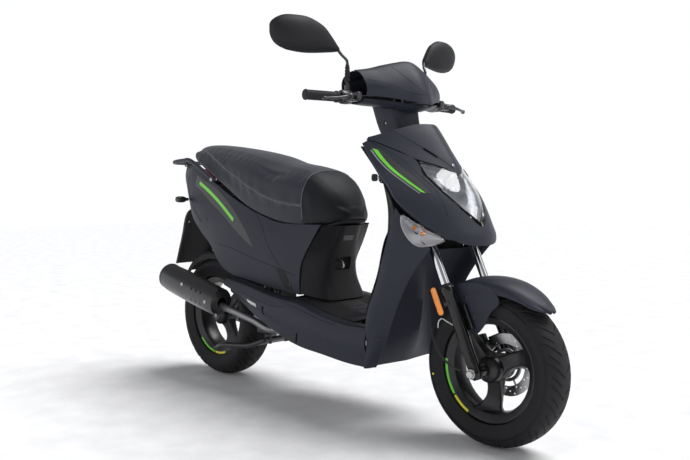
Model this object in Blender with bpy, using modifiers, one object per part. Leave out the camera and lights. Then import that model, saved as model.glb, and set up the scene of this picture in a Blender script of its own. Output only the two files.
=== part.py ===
"""Moped scooter: a step-through 125 class city scooter as separate, jointed pieces.

Metres, +X forward, +Y to the rider's left, +Z up, ground at z = 0.
Shapes are laid out from the middle of the wheelbase; the empty scooter_origin then
shifts everything by ORIGIN_SHIFT, so the origin lies under the middle of the whole object.
Every moving group hangs on an empty that stands on its joint axis.
"""
import math

import bmesh
import bpy
from mathutils import Matrix, Vector

# ---------------------------------------------------------------- driving dimensions
ORIGIN_SHIFT = 0.0152
GAP = 0.0003
PANEL = 0.0025

WHEELBASE = 1.343
FRONT_TYRE_RADIUS = 0.234
FRONT_TYRE_HALF = 0.0585
REAR_TYRE_RADIUS = 0.243
REAR_TYRE_HALF = 0.0645
RIM_RADIUS = 0.166
FRONT_AXLE = Vector((WHEELBASE / 2, 0.0, FRONT_TYRE_RADIUS))
REAR_AXLE = Vector((-WHEELBASE / 2, 0.0, REAR_TYRE_RADIUS))
WHEEL_STEPS = 32
TUBE_RESOLUTION = 1

RAKE = math.radians(24.9)
STEER_UP = Vector((-math.sin(RAKE), 0.0, math.cos(RAKE)))
STEER_BACK = 0.0276
STEER_BASE = FRONT_AXLE - Vector((STEER_BACK, 0.0, 0.0))
FORK_HALF = 0.100
STANCHION_RADIUS = 0.0135
SLIDER_RADIUS = 0.0185

BAR_RADIUS = 0.011
BAR_MID = Vector((0.268, 0.0, 1.040))
BAR_BEND = Vector((0.258, 0.115, 1.050))
BAR_END = Vector((0.219, 0.352, 1.049))
LEVER_PIVOT = Vector((0.286, 0.228, 1.047))
LEVER_TIP = Vector((0.283, 0.335, 1.034))
BOOT_TOP = Vector((0.232, 0.189, 1.152))

ENGINE_PIVOT = Vector((-0.300, 0.0, 0.262))
SHOCK_TOP = Vector((-0.600, 0.101, 0.610))
SHOCK_BOTTOM = Vector((-0.600, 0.101, 0.345))
SEAT_PIVOT = Vector((0.060, 0.0, 0.652))
STAND_PIVOT = Vector((-0.345, 0.0, 0.185))
KICK_PIVOT = Vector((-0.395, 0.172, 0.255))
KEY_POINT = Vector((0.281, -0.085, 0.800))

# ---------------------------------------------------------------- collections and empties
for old in list(bpy.data.objects):
    bpy.data.objects.remove(old, do_unlink=True)

PARTS = bpy.data.collections.new("moped_scooter")
CUTTERS = bpy.data.collections.new("cutters")
bpy.context.scene.collection.children.link(PARTS)
bpy.context.scene.collection.children.link(CUTTERS)


def empty(name, point, parent=None):
    """An empty at a design point; its children keep their own design coordinates."""
    marker = bpy.data.objects.new(name, None)
    marker.empty_display_size = 0.05
    PARTS.objects.link(marker)
    marker.location = Vector(point)
    marker["design"] = tuple(point)
    if parent is not None:
        marker.parent = parent
        marker.matrix_parent_inverse = Matrix.Translation(-Vector(parent["design"]))
    return marker


ORIGIN = empty("scooter_origin", (0.0, 0.0, 0.0))
ORIGIN.location.x = ORIGIN_SHIFT
STEERING = empty("joint_steering", STEER_BASE, ORIGIN)
FORK = empty("joint_front_suspension", FRONT_AXLE, STEERING)
FRONT_WHEEL = empty("joint_front_wheel", FRONT_AXLE, FORK)
ENGINE = empty("joint_engine_swing", ENGINE_PIVOT, ORIGIN)
REAR_WHEEL = empty("joint_rear_wheel", REAR_AXLE, ENGINE)
SEAT = empty("joint_seat", SEAT_PIVOT, ORIGIN)
STAND = empty("joint_centre_stand", STAND_PIVOT, ENGINE)
KICK = empty("joint_kick_starter", KICK_PIVOT, ENGINE)
SHOCK = empty("joint_shock_top", SHOCK_TOP, ORIGIN)
KEY = empty("joint_ignition_key", KEY_POINT, ORIGIN)


# ---------------------------------------------------------------- materials
def material(name, colour, roughness, metallic=0.0):
    mat = bpy.data.materials.new(name)
    mat.use_nodes = True
    shader = mat.node_tree.nodes["Principled BSDF"]
    shader.inputs["Base Color"].default_value = (*colour, 1.0)
    shader.inputs["Roughness"].default_value = roughness
    shader.inputs["Metallic"].default_value = metallic
    mat.diffuse_color = (*colour, 1.0)
    return mat


ANTHRACITE = ((0.045, 0.045, 0.055), 0.55)
BLACK = ((0.012, 0.012, 0.015), 0.5)
SEAT_GREY = ((0.06, 0.065, 0.075), 0.7)
RUBBER = ((0.02, 0.02, 0.022), 0.8)
CHROME = ((0.75, 0.76, 0.78), 0.15, 1.0)
STEEL = ((0.35, 0.35, 0.36), 0.35, 1.0)
CAST = ((0.02, 0.02, 0.022), 0.35, 0.6)
CLEAR = ((0.75, 0.77, 0.8), 0.1)
RED = ((0.5, 0.02, 0.02), 0.2)


# ---------------------------------------------------------------- modelling helpers
def add(name, mesh, look, parent, location=(0.0, 0.0, 0.0), rotation=(0.0, 0.0, 0.0)):
    """Link a mesh as one named part, placed in design coordinates under its joint empty."""
    part = bpy.data.objects.new(name, mesh)
    PARTS.objects.link(part)
    part.location = location
    part.rotation_euler = rotation
    part.parent = parent
    if parent != ORIGIN:
        part.matrix_parent_inverse = Matrix.Translation(-Vector(parent["design"]))
    mesh.materials.append(material(name, *look))
    return part


def retire(tool):
    """Make an object a cutter: out of the parts, drawn as wire and never rendered."""
    PARTS.objects.unlink(tool)
    CUTTERS.objects.link(tool)
    tool.hide_render = True
    tool.display_type = "WIRE"


def combine(target, tool, operation):
    step = target.modifiers.new(operation.lower() + "_" + tool.name, "BOOLEAN")
    step.operation = operation
    step.solver = "EXACT"
    step.object = tool
    retire(tool)


def join(target, *tools):
    for tool in tools:
        combine(target, tool, "UNION")


def cut(target, *tools):
    for tool in tools:
        combine(target, tool, "DIFFERENCE")


def smooth(mesh, angle=35.0):
    mesh.shade_smooth()
    mesh.set_sharp_from_angle(angle=math.radians(angle))


def finish_bmesh(name, bm, angle=35.0):
    bmesh.ops.recalc_face_normals(bm, faces=bm.faces)
    mesh = bpy.data.meshes.new(name)
    bm.to_mesh(mesh)
    bm.free()
    smooth(mesh, angle)
    return mesh


def box_mesh(name, size, bevel=0.0, taper=1.0):
    """A box about its own centre; taper scales the top face, bevel rounds the edges."""
    bm = bmesh.new()
    bmesh.ops.create_cube(bm, size=1.0)
    for vert in bm.verts:
        factor = taper if vert.co.z > 0 else 1.0
        vert.co = Vector((vert.co.x * size[0] * factor, vert.co.y * size[1] * factor,
                          vert.co.z * size[2]))
    if bevel > 0.0:
        bmesh.ops.bevel(bm, geom=list(bm.edges), offset=bevel, segments=1, affect="EDGES")
    return finish_bmesh(name, bm)


def cylinder_mesh(name, radius, length, sides=16):
    bm = bmesh.new()
    bmesh.ops.create_cone(bm, cap_ends=True, segments=sides, radius1=radius, radius2=radius, depth=length)
    return finish_bmesh(name, bm)


def along(direction):
    """Euler rotation that turns local +Z to the given direction."""
    return Vector(direction).to_track_quat("Z", "Y").to_euler()


def tilt(direction):
    """Rotation about Y alone that turns local +Z to a direction in the XZ plane."""
    return (0.0, math.atan2(direction[0], direction[2]), 0.0)


def rod(name, start, end, radius, look, parent, sides=12):
    """A round bar between two design points."""
    start = Vector(start)
    end = Vector(end)
    mesh = cylinder_mesh(name, radius, (end - start).length, sides)
    return add(name, mesh, look, parent, (start + end) / 2, along(end - start))


def block(name, centre, size, look, parent, bevel=0.0, taper=1.0, rotation=(0.0, 0.0, 0.0)):
    return add(name, box_mesh(name, size, bevel, taper), look, parent, centre, rotation)


def turned(name, profile, steps, look, parent, location, direction):
    """A profile of (radius, height) points turned about an axis; closed where it meets the axis."""
    closed = profile[0][0] > 0.0 and profile[-1][0] > 0.0
    mesh = bpy.data.meshes.new(name)
    points = [(radius, 0.0, height) for radius, height in profile]
    edges = [(i, i + 1) for i in range(len(points) - 1)]
    if closed:
        edges.append((len(points) - 1, 0))
    mesh.from_pydata(points, edges, [])
    part = add(name, mesh, look, parent, location, along(direction))
    screw = part.modifiers.new("turn", "SCREW")
    screw.steps = steps
    screw.render_steps = steps
    screw.use_merge_vertices = True
    screw.merge_threshold = 0.00001
    screw.use_smooth_shade = True
    return part


def tube(name, points, radius, look, parent):
    """A round tube along points, as a closed mesh."""
    curve = bpy.data.curves.new(name, "CURVE")
    curve.dimensions = "3D"
    curve.bevel_depth = radius
    curve.bevel_resolution = TUBE_RESOLUTION
    curve.use_fill_caps = True
    spline = curve.splines.new("POLY")
    spline.points.add(len(points) - 1)
    for spot, point in zip(spline.points, points):
        spot.co = (*point, 1.0)
    route = bpy.data.objects.new(name + "_route", curve)
    PARTS.objects.link(route)
    bpy.context.view_layer.update()
    evaluated = route.evaluated_get(bpy.context.evaluated_depsgraph_get())
    mesh = bpy.data.meshes.new_from_object(evaluated)
    bpy.data.objects.remove(route, do_unlink=True)
    bm = bmesh.new()
    bm.from_mesh(mesh)
    bmesh.ops.remove_doubles(bm, verts=bm.verts, dist=0.00001)
    bmesh.ops.recalc_face_normals(bm, faces=bm.faces)
    bm.to_mesh(mesh)
    bm.free()
    mesh.name = name
    smooth(mesh, 50.0)
    return add(name, mesh, look, parent)


def mirrored(rows):
    """Rows of (x, y, z) that start at y = 0, completed to the other side."""
    return [[(x, -y, z) for x, y, z in reversed(row[1:])] + list(row) for row in rows]


def sheet(name, rows, look, parent, thickness=PANEL, outward=(1.0, 0.0, 0.0), both=False):
    """A moulded panel: a grid of points given a thickness behind its outward side."""
    if both:
        rows = mirrored(rows)
    bm = bmesh.new()
    grid = [[bm.verts.new(point) for point in row] for row in rows]
    for upper, lower in zip(grid, grid[1:]):
        for i in range(len(upper) - 1):
            bm.faces.new((upper[i], upper[i + 1], lower[i + 1], lower[i]))
    bmesh.ops.recalc_face_normals(bm, faces=bm.faces)
    total = Vector((0.0, 0.0, 0.0))
    for face in bm.faces:
        total += face.normal * face.calc_area()
    if total.dot(Vector(outward)) < 0.0:
        bmesh.ops.reverse_faces(bm, faces=bm.faces)
    mesh = bpy.data.meshes.new(name)
    bm.to_mesh(mesh)
    bm.free()
    smooth(mesh, 30.0)
    part = add(name, mesh, look, parent)
    shell = part.modifiers.new("wall", "SOLIDIFY")
    shell.thickness = thickness
    shell.offset = -1.0
    shell.use_even_offset = True
    return part


def solid_loft(name, rings, look, parent):
    """A closed body skinned over rings of equal point counts, capped at both ends."""
    bm = bmesh.new()
    loops = [[bm.verts.new(point) for point in ring] for ring in rings]
    count = len(rings[0])
    for first, second in zip(loops, loops[1:]):
        for i in range(count):
            j = (i + 1) % count
            bm.faces.new((first[i], first[j], second[j], second[i]))
    bm.faces.new(loops[0][::-1])
    bm.faces.new(loops[-1])
    return add(name, finish_bmesh(name, bm), look, parent)


def blend_points(start, end, share):
    return tuple(a + (b - a) * share for a, b in zip(start, end))


def between(inner, outer, columns):
    """Rows across a patch bounded by two curves with equal point counts."""
    return [[blend_points(a, b, k / columns) for k in range(columns + 1)] for a, b in zip(inner, outer)]


def read_off(table, value):
    """Straight-line reading of a (key, value) table in rising key order."""
    if value <= table[0][0]:
        return table[0][1]
    for (low, a), (high, b) in zip(table, table[1:]):
        if value <= high:
            return a + (b - a) * (value - low) / (high - low)
    return table[-1][1]


def mirror_y(points):
    return [(x, -y, z) for x, y, z in points]


def on_steering(height, forward=0.0, side=0.0):
    """A point by its distance up the steering axis, forward of it and to the left."""
    forward_dir = Vector((math.cos(RAKE), 0.0, math.sin(RAKE)))
    return STEER_BASE + STEER_UP * height + forward_dir * forward + Vector((0.0, side, 0.0))


def on_leg(height, side, forward=0.0):
    """A point by its distance up the fork leg from the axle."""
    forward_dir = Vector((math.cos(RAKE), 0.0, math.sin(RAKE)))
    return FRONT_AXLE + STEER_UP * height + forward_dir * forward + Vector((0.0, side, 0.0))


# ---------------------------------------------------------------- wheels
def tyre(name, radius, half, parent, centre):
    """Open carcass: tread, sidewalls and beads, hollow towards the rim."""
    rise = radius / math.cos(math.pi / WHEEL_STEPS)
    tread = [(0.845, 1.00), (0.925, 0.86), (0.98, 0.56), (1.0, 0.36)]
    upper = [(rise * r, half * y) for r, y in reversed(tread)]
    lower = [(rise * r, -half * y) for r, y in tread[::-1]]
    bead = RIM_RADIUS - 0.004
    outer = [(bead, half * 0.83)] + upper[::-1] + lower + [(bead, -half * 0.83)]
    wall = 0.009
    inner = [(bead, -half * 0.83 + wall), (rise * 0.86, -half + wall * 1.4), (rise - wall * 1.2,
                                                                              -half * 0.5),
             (rise - wall * 1.2, half * 0.5), (rise * 0.86, half - wall * 1.4), (bead,
                                                                                 half * 0.83 - wall)]
    turn = turned(name, outer + inner, WHEEL_STEPS, RUBBER, parent, centre, (0.0, 1.0, 0.0))
    turn.rotation_euler.rotate_axis("Z", math.pi / WHEEL_STEPS)
    return turn


def rim(name, half, hub_half, bore, parent, centre, spoke_half):
    """Cast wheel: well, two flanges, hub and three broad spokes."""
    seat = RIM_RADIUS - 0.0045 - GAP
    lip = half * 0.83 - 0.0095
    profile = [(seat - 0.007, lip), (seat, lip), (seat, lip - 0.008), (seat - 0.020, lip - 0.016),
               (seat - 0.020, -lip + 0.016), (seat, -lip + 0.008), (seat, -lip), (seat - 0.007, -lip),
               (seat - 0.028, -lip + 0.012), (seat - 0.028, lip - 0.012)]
    wheel = turned(name, profile, WHEEL_STEPS, CAST, parent, centre, (0.0, 1.0, 0.0))
    wheel.rotation_euler.rotate_axis("Z", math.pi / WHEEL_STEPS)
    hub = rod(name + "_hub", Vector(centre) - Vector((0, hub_half, 0)), Vector(centre) + Vector((0,
                                                                                                 hub_half, 0)),
              0.038, CAST, parent, 18)
    join(wheel, hub)
    for k in range(3):
        angle = math.radians(SPOKE_START + 120 * k)
        reach = seat - 0.024
        middle = Vector(centre) + Vector((math.cos(angle), 0, math.sin(angle))) * (0.030 + reach) / 2
        spoke = block(name + "_spoke_%d" % k, middle, (0.046, spoke_half * 2, reach - 0.030), CAST,
                      parent)
        spoke.rotation_euler = tilt((math.cos(angle), 0, math.sin(angle)))
        join(wheel, spoke)
    hole = rod(name + "_bore", Vector(centre) - Vector((0, 0.2, 0)), Vector(centre) + Vector((0, 0.2, 0)),
               bore, CAST, parent, 18)
    cut(wheel, hole)
    return wheel


SPOKE_START = 50.0
AXLE_RADIUS = 0.0075
tyre("front_tyre", FRONT_TYRE_RADIUS, FRONT_TYRE_HALF, FRONT_WHEEL, FRONT_AXLE)
tyre("rear_tyre", REAR_TYRE_RADIUS, REAR_TYRE_HALF, REAR_WHEEL, REAR_AXLE)
rim("front_rim", FRONT_TYRE_HALF, 0.058, AXLE_RADIUS + 0.0005, FRONT_WHEEL, FRONT_AXLE, 0.014)
rim("rear_rim", REAR_TYRE_HALF, 0.052, AXLE_RADIUS + 0.0005, REAR_WHEEL, REAR_AXLE, 0.014)

DISC_Y = 0.0625
turned("brake_disc", [(0.0395, 0.002), (0.095, 0.002), (0.095, -0.002), (0.0395, -0.002)], 24, STEEL,
       FRONT_WHEEL,
       FRONT_AXLE + Vector((0, DISC_Y - 0.007, 0)), (0, 1, 0))

# ---------------------------------------------------------------- front fork
SLIDER_TOP = 0.265


def slider(side, label):
    """Black lower leg: a tube with a blind bore for the stanchion and a boss for the axle."""
    low = -0.020
    bore = STANCHION_RADIUS / math.cos(math.pi / 14) + GAP
    profile = [(0.0, 0.030), (bore, 0.030), (bore, SLIDER_TOP), (SLIDER_RADIUS + 0.003, SLIDER_TOP),
               (SLIDER_RADIUS + 0.003, SLIDER_TOP - 0.022), (SLIDER_RADIUS, SLIDER_TOP - 0.026),
               (SLIDER_RADIUS, low + 0.006), (SLIDER_RADIUS - 0.006, low), (0.0, low)]
    name = "fork_lower_" + label
    start = Vector((FRONT_AXLE.x, side * FORK_HALF, FRONT_AXLE.z))
    leg = turned(name, profile, 14, BLACK, FORK, start, STEER_UP)
    boss = rod(name + "_boss", start + Vector((0, -side * 0.034, 0)), start + Vector((0, side * 0.024,
                                                                                      0)),
               0.0165, BLACK, FORK, 14)
    join(leg, boss)
    if label == "right":
        lug = block(name + "_mudguard_lug", on_leg(0.160, side * 0.0802, 0.012), (0.040, 0.0096, 0.075),
                    BLACK, FORK)
        lug.rotation_euler = tilt(STEER_UP)
        reflector = block(name + "_reflector", on_leg(0.215, side * (FORK_HALF + 0.022), -0.030),
                          (0.020, 0.010, 0.072), BLACK, FORK, 0.003)
        reflector.rotation_euler = tilt(STEER_UP)
        strap = block(name + "_reflector_strap", on_leg(0.215, side * (FORK_HALF + 0.018), -0.010),
                      (0.034, 0.006, 0.012), BLACK, FORK)
        strap.rotation_euler = tilt(STEER_UP)
        join(leg, lug, reflector, strap)
    else:
        lug = block(name + "_caliper_lug", on_leg(0.075, side * 0.0802, -0.0253), (0.0468, 0.0096, 0.050),
                    BLACK, FORK)
        lug.rotation_euler = tilt(STEER_UP)
        guard = block(name + "_mudguard_lug", on_leg(0.160, side * 0.0802, 0.012), (0.040, 0.0096, 0.075),
                      BLACK, FORK)
        guard.rotation_euler = tilt(STEER_UP)
        join(leg, lug, guard)
    hole = rod(name + "_axle_hole", start - Vector((0, 0.1, 0)), start + Vector((0, 0.1, 0)),
               AXLE_RADIUS + GAP, BLACK, FORK, 16)
    cut(leg, hole)
    return leg


slider(-1, "right")
slider(1, "left")
turned("front_axle", [(0.0, 0.128), (0.012, 0.128), (0.012, 0.1245), (AXLE_RADIUS, 0.1245), (AXLE_RADIUS,
                                                                                             -0.1245),
                      (0.012, -0.1245), (0.012, -0.134), (0.0, -0.134)], 14, STEEL, FORK, FRONT_AXLE, (0,
                                                                                                       1, 0))

YOKE = 0.430
STEM_RADIUS = 0.0127
upper = rod("fork_upper", on_steering(YOKE - 0.02), on_steering(0.862), STEM_RADIUS, BLACK, STEERING, 14)
bridge = block("fork_bridge", on_steering(YOKE, 0.012), (0.060, 0.236, 0.024), BLACK, STEERING, 0.006)
bridge.rotation_euler = tilt(STEER_UP)
join(upper, bridge)
for side in (-1, 1):
    base = Vector((FRONT_AXLE.x, side * FORK_HALF, FRONT_AXLE.z))
    stanchion = rod("stanchion_%d" % side, base + STEER_UP * 0.105, base + STEER_UP * 0.445,
                    STANCHION_RADIUS, CHROME, STEERING, 14)
    join(upper, stanchion)

# mudguard: an arch over the front tyre with a cheek on each side for the fork lugs
GUARD_RADIUS = FRONT_TYRE_RADIUS + 0.026
guard_rows = []
for degrees, half, drop in ((42, 0.020, 0.010), (47, 0.046, 0.022), (58, 0.062, 0.030), (72, 0.070,
                                                                                         0.038),
                            (90, 0.074, 0.052), (106, 0.074, 0.066), (122, 0.072, 0.060), (138, 0.066,
                                                                                           0.040)):
    theta = math.radians(degrees)
    ray = Vector((math.cos(theta), 0.0, math.sin(theta)))
    top = FRONT_AXLE + ray * GUARD_RADIUS
    shoulder = FRONT_AXLE + ray * (GUARD_RADIUS - 0.012)
    hem = FRONT_AXLE + ray * (GUARD_RADIUS - drop)
    guard_rows.append([tuple(top), (shoulder.x, half * 0.7, shoulder.z), (hem.x, half, hem.z)])
mudguard = sheet("front_mudguard", guard_rows, ANTHRACITE, FORK, 0.0025, (0.3, 0, 1), both=True)
for side in (-1, 1):
    cheek_points = [on_leg(0.225, side * 0.0735, 0.052), on_leg(0.225, side * 0.0735, -0.005),
                    on_leg(0.105, side * 0.0735, -0.005), on_leg(0.105, side * 0.0735, 0.022),
                    on_leg(0.150, side * 0.0735, 0.060)]
    shift = Vector((0, -side * 0.0045, 0))
    cheek = solid_loft("mudguard_cheek_%d" % side, [cheek_points, [p + shift for p in cheek_points]],
                       ANTHRACITE, FORK)
    join(mudguard, cheek)

caliper_centre = on_leg(0.078, 0.0, -0.072) + Vector((0, DISC_Y, 0))
caliper = block("brake_caliper", caliper_centre, (0.046, 0.034, 0.074), BLACK, FORK, 0.006)
caliper.rotation_euler = tilt(STEER_UP)
slot = block("caliper_slot", caliper_centre + Vector((0.012, -0.007, 0)), (0.060, 0.0075, 0.110), BLACK,
             FORK)
slot.rotation_euler = tilt(STEER_UP)
cut(caliper, slot)

cable_route = [(0.655, -0.148, 0.246), (0.622, -0.151, 0.254), (0.582, -0.152, 0.282), (0.552, -0.148,
                                                                                        0.325),
               (0.534, -0.141, 0.370), (0.524, -0.133, 0.415), (0.518, -0.128, 0.455)]
tube("speedo_cable", cable_route, 0.0032, RUBBER, FORK)

# ---------------------------------------------------------------- handlebar and head
bar_points = [(BAR_END.x, -BAR_END.y, BAR_END.z), (BAR_BEND.x, -BAR_BEND.y, BAR_BEND.z), tuple(BAR_MID),
              tuple(BAR_BEND), tuple(BAR_END)]
handlebar = tube("handlebar", bar_points, BAR_RADIUS, BLACK, STEERING)
BAR_OUT = (BAR_END - BAR_BEND).normalized()


def on_bar(distance, side):
    """A point on the straight outer part of the bar, measured inwards from its end."""
    point = BAR_END - BAR_OUT * distance
    return Vector((point.x, side * point.y, point.z))


def out_along(side):
    return Vector((BAR_OUT.x, side * BAR_OUT.y, BAR_OUT.z))


for side in (-1, 1):
    perch = rod("perch_%d" % side, on_bar(0.162, side), on_bar(0.122, side), 0.021, BLACK, STEERING, 12)
    arm_end = Vector((LEVER_PIVOT.x - 0.004, side * (LEVER_PIVOT.y - 0.030), LEVER_PIVOT.z))
    arm = block("perch_arm_%d" % side, (on_bar(0.150, side) + arm_end) / 2 + Vector((0.006, 0, 0.002)),
                (0.064, 0.022, 0.026), BLACK, STEERING, 0.004)
    boss_foot = Vector((BOOT_TOP.x, side * BOOT_TOP.y, 1.058))
    boss_head = Vector((BOOT_TOP.x, side * BOOT_TOP.y, 1.090))
    boss = rod("mirror_boss_%d" % side, boss_foot, boss_head, 0.009, BLACK, STEERING, 10)
    tab = block("perch_tab_%d" % side, (LEVER_PIVOT.x, side * (LEVER_PIVOT.y - 0.006),
                                        LEVER_PIVOT.z - 0.0108),
                (0.020, 0.040, 0.007), BLACK, STEERING)
    join(handlebar, perch, arm, boss, tab)
clamp = rod("bar_clamp", on_steering(0.868), BAR_MID + Vector((0, 0, 0.016)), 0.018, BLACK,
            STEERING, 12)
join(handlebar, clamp)

BORE = BAR_RADIUS + GAP
for side, name in ((-1, "throttle_grip"), (1, "grip_left")):
    start = on_bar(-0.006, side)
    holder = empty("joint_throttle", start, STEERING) if side < 0 else STEERING
    profile = [(0.0, 0.0), (0.0155, 0.0), (0.0165, -0.004), (0.0165, -0.122), (BORE, -0.122), (BORE,
                                                                                               -0.0055),
               (0.0, -0.0055)]
    turned(name, profile, 14, RUBBER, holder, start, out_along(side))


def lever(side, label):
    """Brake lever: a pivot eye and a blade that ends in a ball."""
    pivot = Vector((LEVER_PIVOT.x, side * LEVER_PIVOT.y, LEVER_PIVOT.z))
    tip = Vector((LEVER_TIP.x, side * LEVER_TIP.y, LEVER_TIP.z))
    bow = Vector((LEVER_PIVOT.x + 0.012, side * (LEVER_PIVOT.y + 0.05), LEVER_PIVOT.z - 0.008))
    hinge = empty("joint_brake_lever_" + label, pivot, STEERING)
    blade = tube("brake_lever_" + label, [tuple(pivot), tuple(bow), tuple(tip)], 0.005, BLACK, hinge)
    ball = rod("lever_ball_" + label, tip - Vector((0, 0.007, 0)), tip + Vector((0, 0.007, 0)), 0.0075,
               BLACK,
               hinge, 10)
    eye = rod("lever_eye_" + label, pivot - Vector((0, 0, 0.007)), pivot + Vector((0, 0, 0.007)), 0.009,
              BLACK,
              hinge, 10)
    join(blade, ball, eye)
    return blade


lever(-1, "right")
lever(1, "left")
BUTTON_BACK = Vector((-0.0245, 0, 0))
BUTTON_DEPTH = Vector((-0.0060, 0, 0))
rod("starter_button", on_bar(0.140, -1) + BUTTON_BACK, on_bar(0.140, -1) + BUTTON_BACK + BUTTON_DEPTH,
    0.005, STEEL,
    STEERING, 10)
rod("horn_button", on_bar(0.140, 1) + BUTTON_BACK, on_bar(0.140, 1) + BUTTON_BACK + BUTTON_DEPTH, 0.005,
    STEEL,
    STEERING, 10)


def mirror(side, label):
    """Rear-view mirror: boot, bent stem and a teardrop head that faces backwards."""
    base = Vector((BOOT_TOP.x, side * BOOT_TOP.y, 1.0905))
    top = Vector((BOOT_TOP.x, side * BOOT_TOP.y, BOOT_TOP.z))
    bend = top + Vector((-0.003, side * 0.002, 0.016))
    neck = Vector((0.214, side * 0.200, 1.186))
    root = Vector((0.209, side * 0.210, 1.200))
    hinge = empty("joint_mirror_" + label, base, STEERING)
    route = [tuple(point) for point in (base, top, bend, neck, root)]
    stem = tube("mirror_" + label, route, 0.0048, BLACK, hinge)
    boot = rod("mirror_boot_" + label, base + Vector((0, 0, 0.010)), top, 0.0085, BLACK, hinge, 10)
    rings = []
    for share, low, high, depth in ((0.0, -0.008, 0.010, 0.010), (0.20, -0.022, 0.056, 0.018),
                                    (0.48, -0.042, 0.072, 0.030), (0.75, -0.052, 0.056, 0.034),
                                    (0.93, -0.044, 0.036, 0.026), (1.0, -0.020, 0.014, 0.012)):
        middle = root + Vector((-0.054, side * 0.222, 0.048)) * share
        back = Vector((-0.010, 0, 0))
        ring = []
        for k in range(8):
            angle = 2 * math.pi * k / 8
            reach = high if math.sin(angle) > 0 else -low
            bulge = max(0.0, math.cos(angle)) * depth
            ring.append(middle + Vector((bulge, 0,
                                         math.sin(angle) * reach)) + back * (1 if math.cos(angle) < 0 else 0))
        rings.append([tuple(p) for p in ring])
    head = solid_loft("mirror_head_" + label, rings, BLACK, hinge)
    join(stem, boot, head)
    return stem


mirror(-1, "right")
mirror(1, "left")

front_columns = [
    [(0.284, 0, 1.173), (0.325, 0, 1.170), (0.362, 0, 1.132), (0.390, 0, 1.082), (0.411, 0, 1.028)],
    [(0.275, 0.07, 1.160), (0.312, 0.07, 1.155), (0.346, 0.07, 1.118), (0.366, 0.07, 1.075), (0.372, 0.07,
                                                                                              1.040)],
    [(0.262, 0.13, 1.144), (0.292, 0.13, 1.138), (0.322, 0.13, 1.108), (0.338, 0.13, 1.078), (0.334, 0.13,
                                                                                              1.048)],
    [(0.250, 0.178, 1.136), (0.272, 0.178, 1.128), (0.293, 0.178, 1.106), (0.306, 0.178, 1.078),
     (0.304, 0.178, 1.052)]]
sheet("handlebar_cover_front", list(zip(*front_columns)), ANTHRACITE, STEERING, PANEL, (1, 0, 0.5),
      both=True)
rear_columns = [
    [(0.280, 0, 1.171), (0.235, 0, 1.166), (0.197, 0, 1.140), (0.187, 0, 1.090), (0.212, 0, 1.035),
     (0.240, 0, 1.022), (0.340, 0, 1.008), (0.402, 0, 1.020)],
    [(0.271, 0.07, 1.158), (0.227, 0.07, 1.151), (0.192, 0.07, 1.126), (0.187, 0.07, 1.085), (0.212, 0.07,
                                                                                              1.040),
     (0.240, 0.07, 1.028), (0.325, 0.07, 1.018), (0.364, 0.07, 1.031)],
    [(0.257, 0.13, 1.142), (0.219, 0.13, 1.133), (0.188, 0.13, 1.110), (0.185, 0.13, 1.080), (0.203, 0.13,
                                                                                              1.045),
     (0.228, 0.13, 1.030), (0.290, 0.13, 1.026), (0.327, 0.13, 1.039)],
    [(0.245, 0.178, 1.134), (0.221, 0.178, 1.128), (0.198, 0.178, 1.110), (0.194, 0.178, 1.082),
     (0.206, 0.178, 1.048), (0.224, 0.178, 1.033), (0.266, 0.178, 1.030), (0.297, 0.178, 1.043)]]
rear_cover = sheet("handlebar_cover_rear", list(zip(*rear_columns)), ANTHRACITE, STEERING, PANEL, (-1, 0,
                                                                                                   0),
                   both=True)
stem_hole = rod("cover_stem_hole", on_steering(0.80), on_steering(0.92), 0.024, BLACK, STEERING, 14)
cut(rear_cover, stem_hole)

neck_rings = []
for z, half_x, half_y in ((0.915, 0.050, 0.054), (0.960, 0.053, 0.057), (1.003, 0.056, 0.062)):
    corner = 0.018
    axis_x = STEER_BASE.x - (z - STEER_BASE.z) * math.tan(RAKE)
    ring = []
    for sx, sy in ((1, 1), (-1, 1), (-1, -1), (1, -1)):
        pair = [(sx * half_x, sy * (half_y - corner)), (sx * (half_x - corner), sy * half_y)]
        ring += pair if sx * sy > 0 else pair[::-1]
    slope = 0.25 if z > 1.0 else 0.0
    neck_rings.append([(axis_x - 0.026 + fx, fy, z + 0.006 - fx * slope) for fx, fy in ring])


def closed_sleeve(name, rings, look, parent, thickness):
    """A thin-walled sleeve around a ring stack, open at both ends."""
    centre = [sum(p[i] for ring in rings for p in ring) / sum(len(ring) for ring in rings) for i in range(3)]
    bm = bmesh.new()
    loops = [[bm.verts.new(point) for point in ring] for ring in rings]
    count = len(rings[0])
    for first, second in zip(loops, loops[1:]):
        for i in range(count):
            j = (i + 1) % count
            bm.faces.new((first[i], first[j], second[j], second[i]))
    bmesh.ops.recalc_face_normals(bm, faces=bm.faces)
    face = bm.faces[:][0]
    if face.normal.dot(face.calc_center_median() - Vector(centre)) < 0:
        bmesh.ops.reverse_faces(bm, faces=bm.faces)
    mesh = bpy.data.meshes.new(name)
    bm.to_mesh(mesh)
    bm.free()
    smooth(mesh)
    part = add(name, mesh, look, parent)
    shell = part.modifiers.new("wall", "SOLIDIFY")
    shell.thickness = thickness
    shell.offset = -1.0
    return part


closed_sleeve("neck_cover", neck_rings, ANTHRACITE, STEERING, PANEL)

# ---------------------------------------------------------------- front shield surface
RIDGE = ((0.580, 0.628), (0.620, 0.632), (0.654, 0.617), (0.700, 0.594), (0.750, 0.566), (0.811, 0.527),
         (0.850, 0.502), (0.900, 0.466), (0.940, 0.436), (0.968, 0.412))
FALL = ((0.600, 0.140), (0.724, 0.130), (0.786, 0.143), (0.830, 0.155), (0.905, 0.156), (0.968, 0.150))
POWER = ((0.600, 2.0), (0.750, 1.9), (0.850, 1.5), (0.968, 1.4))
SHIELD_HALF = 0.200


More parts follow.
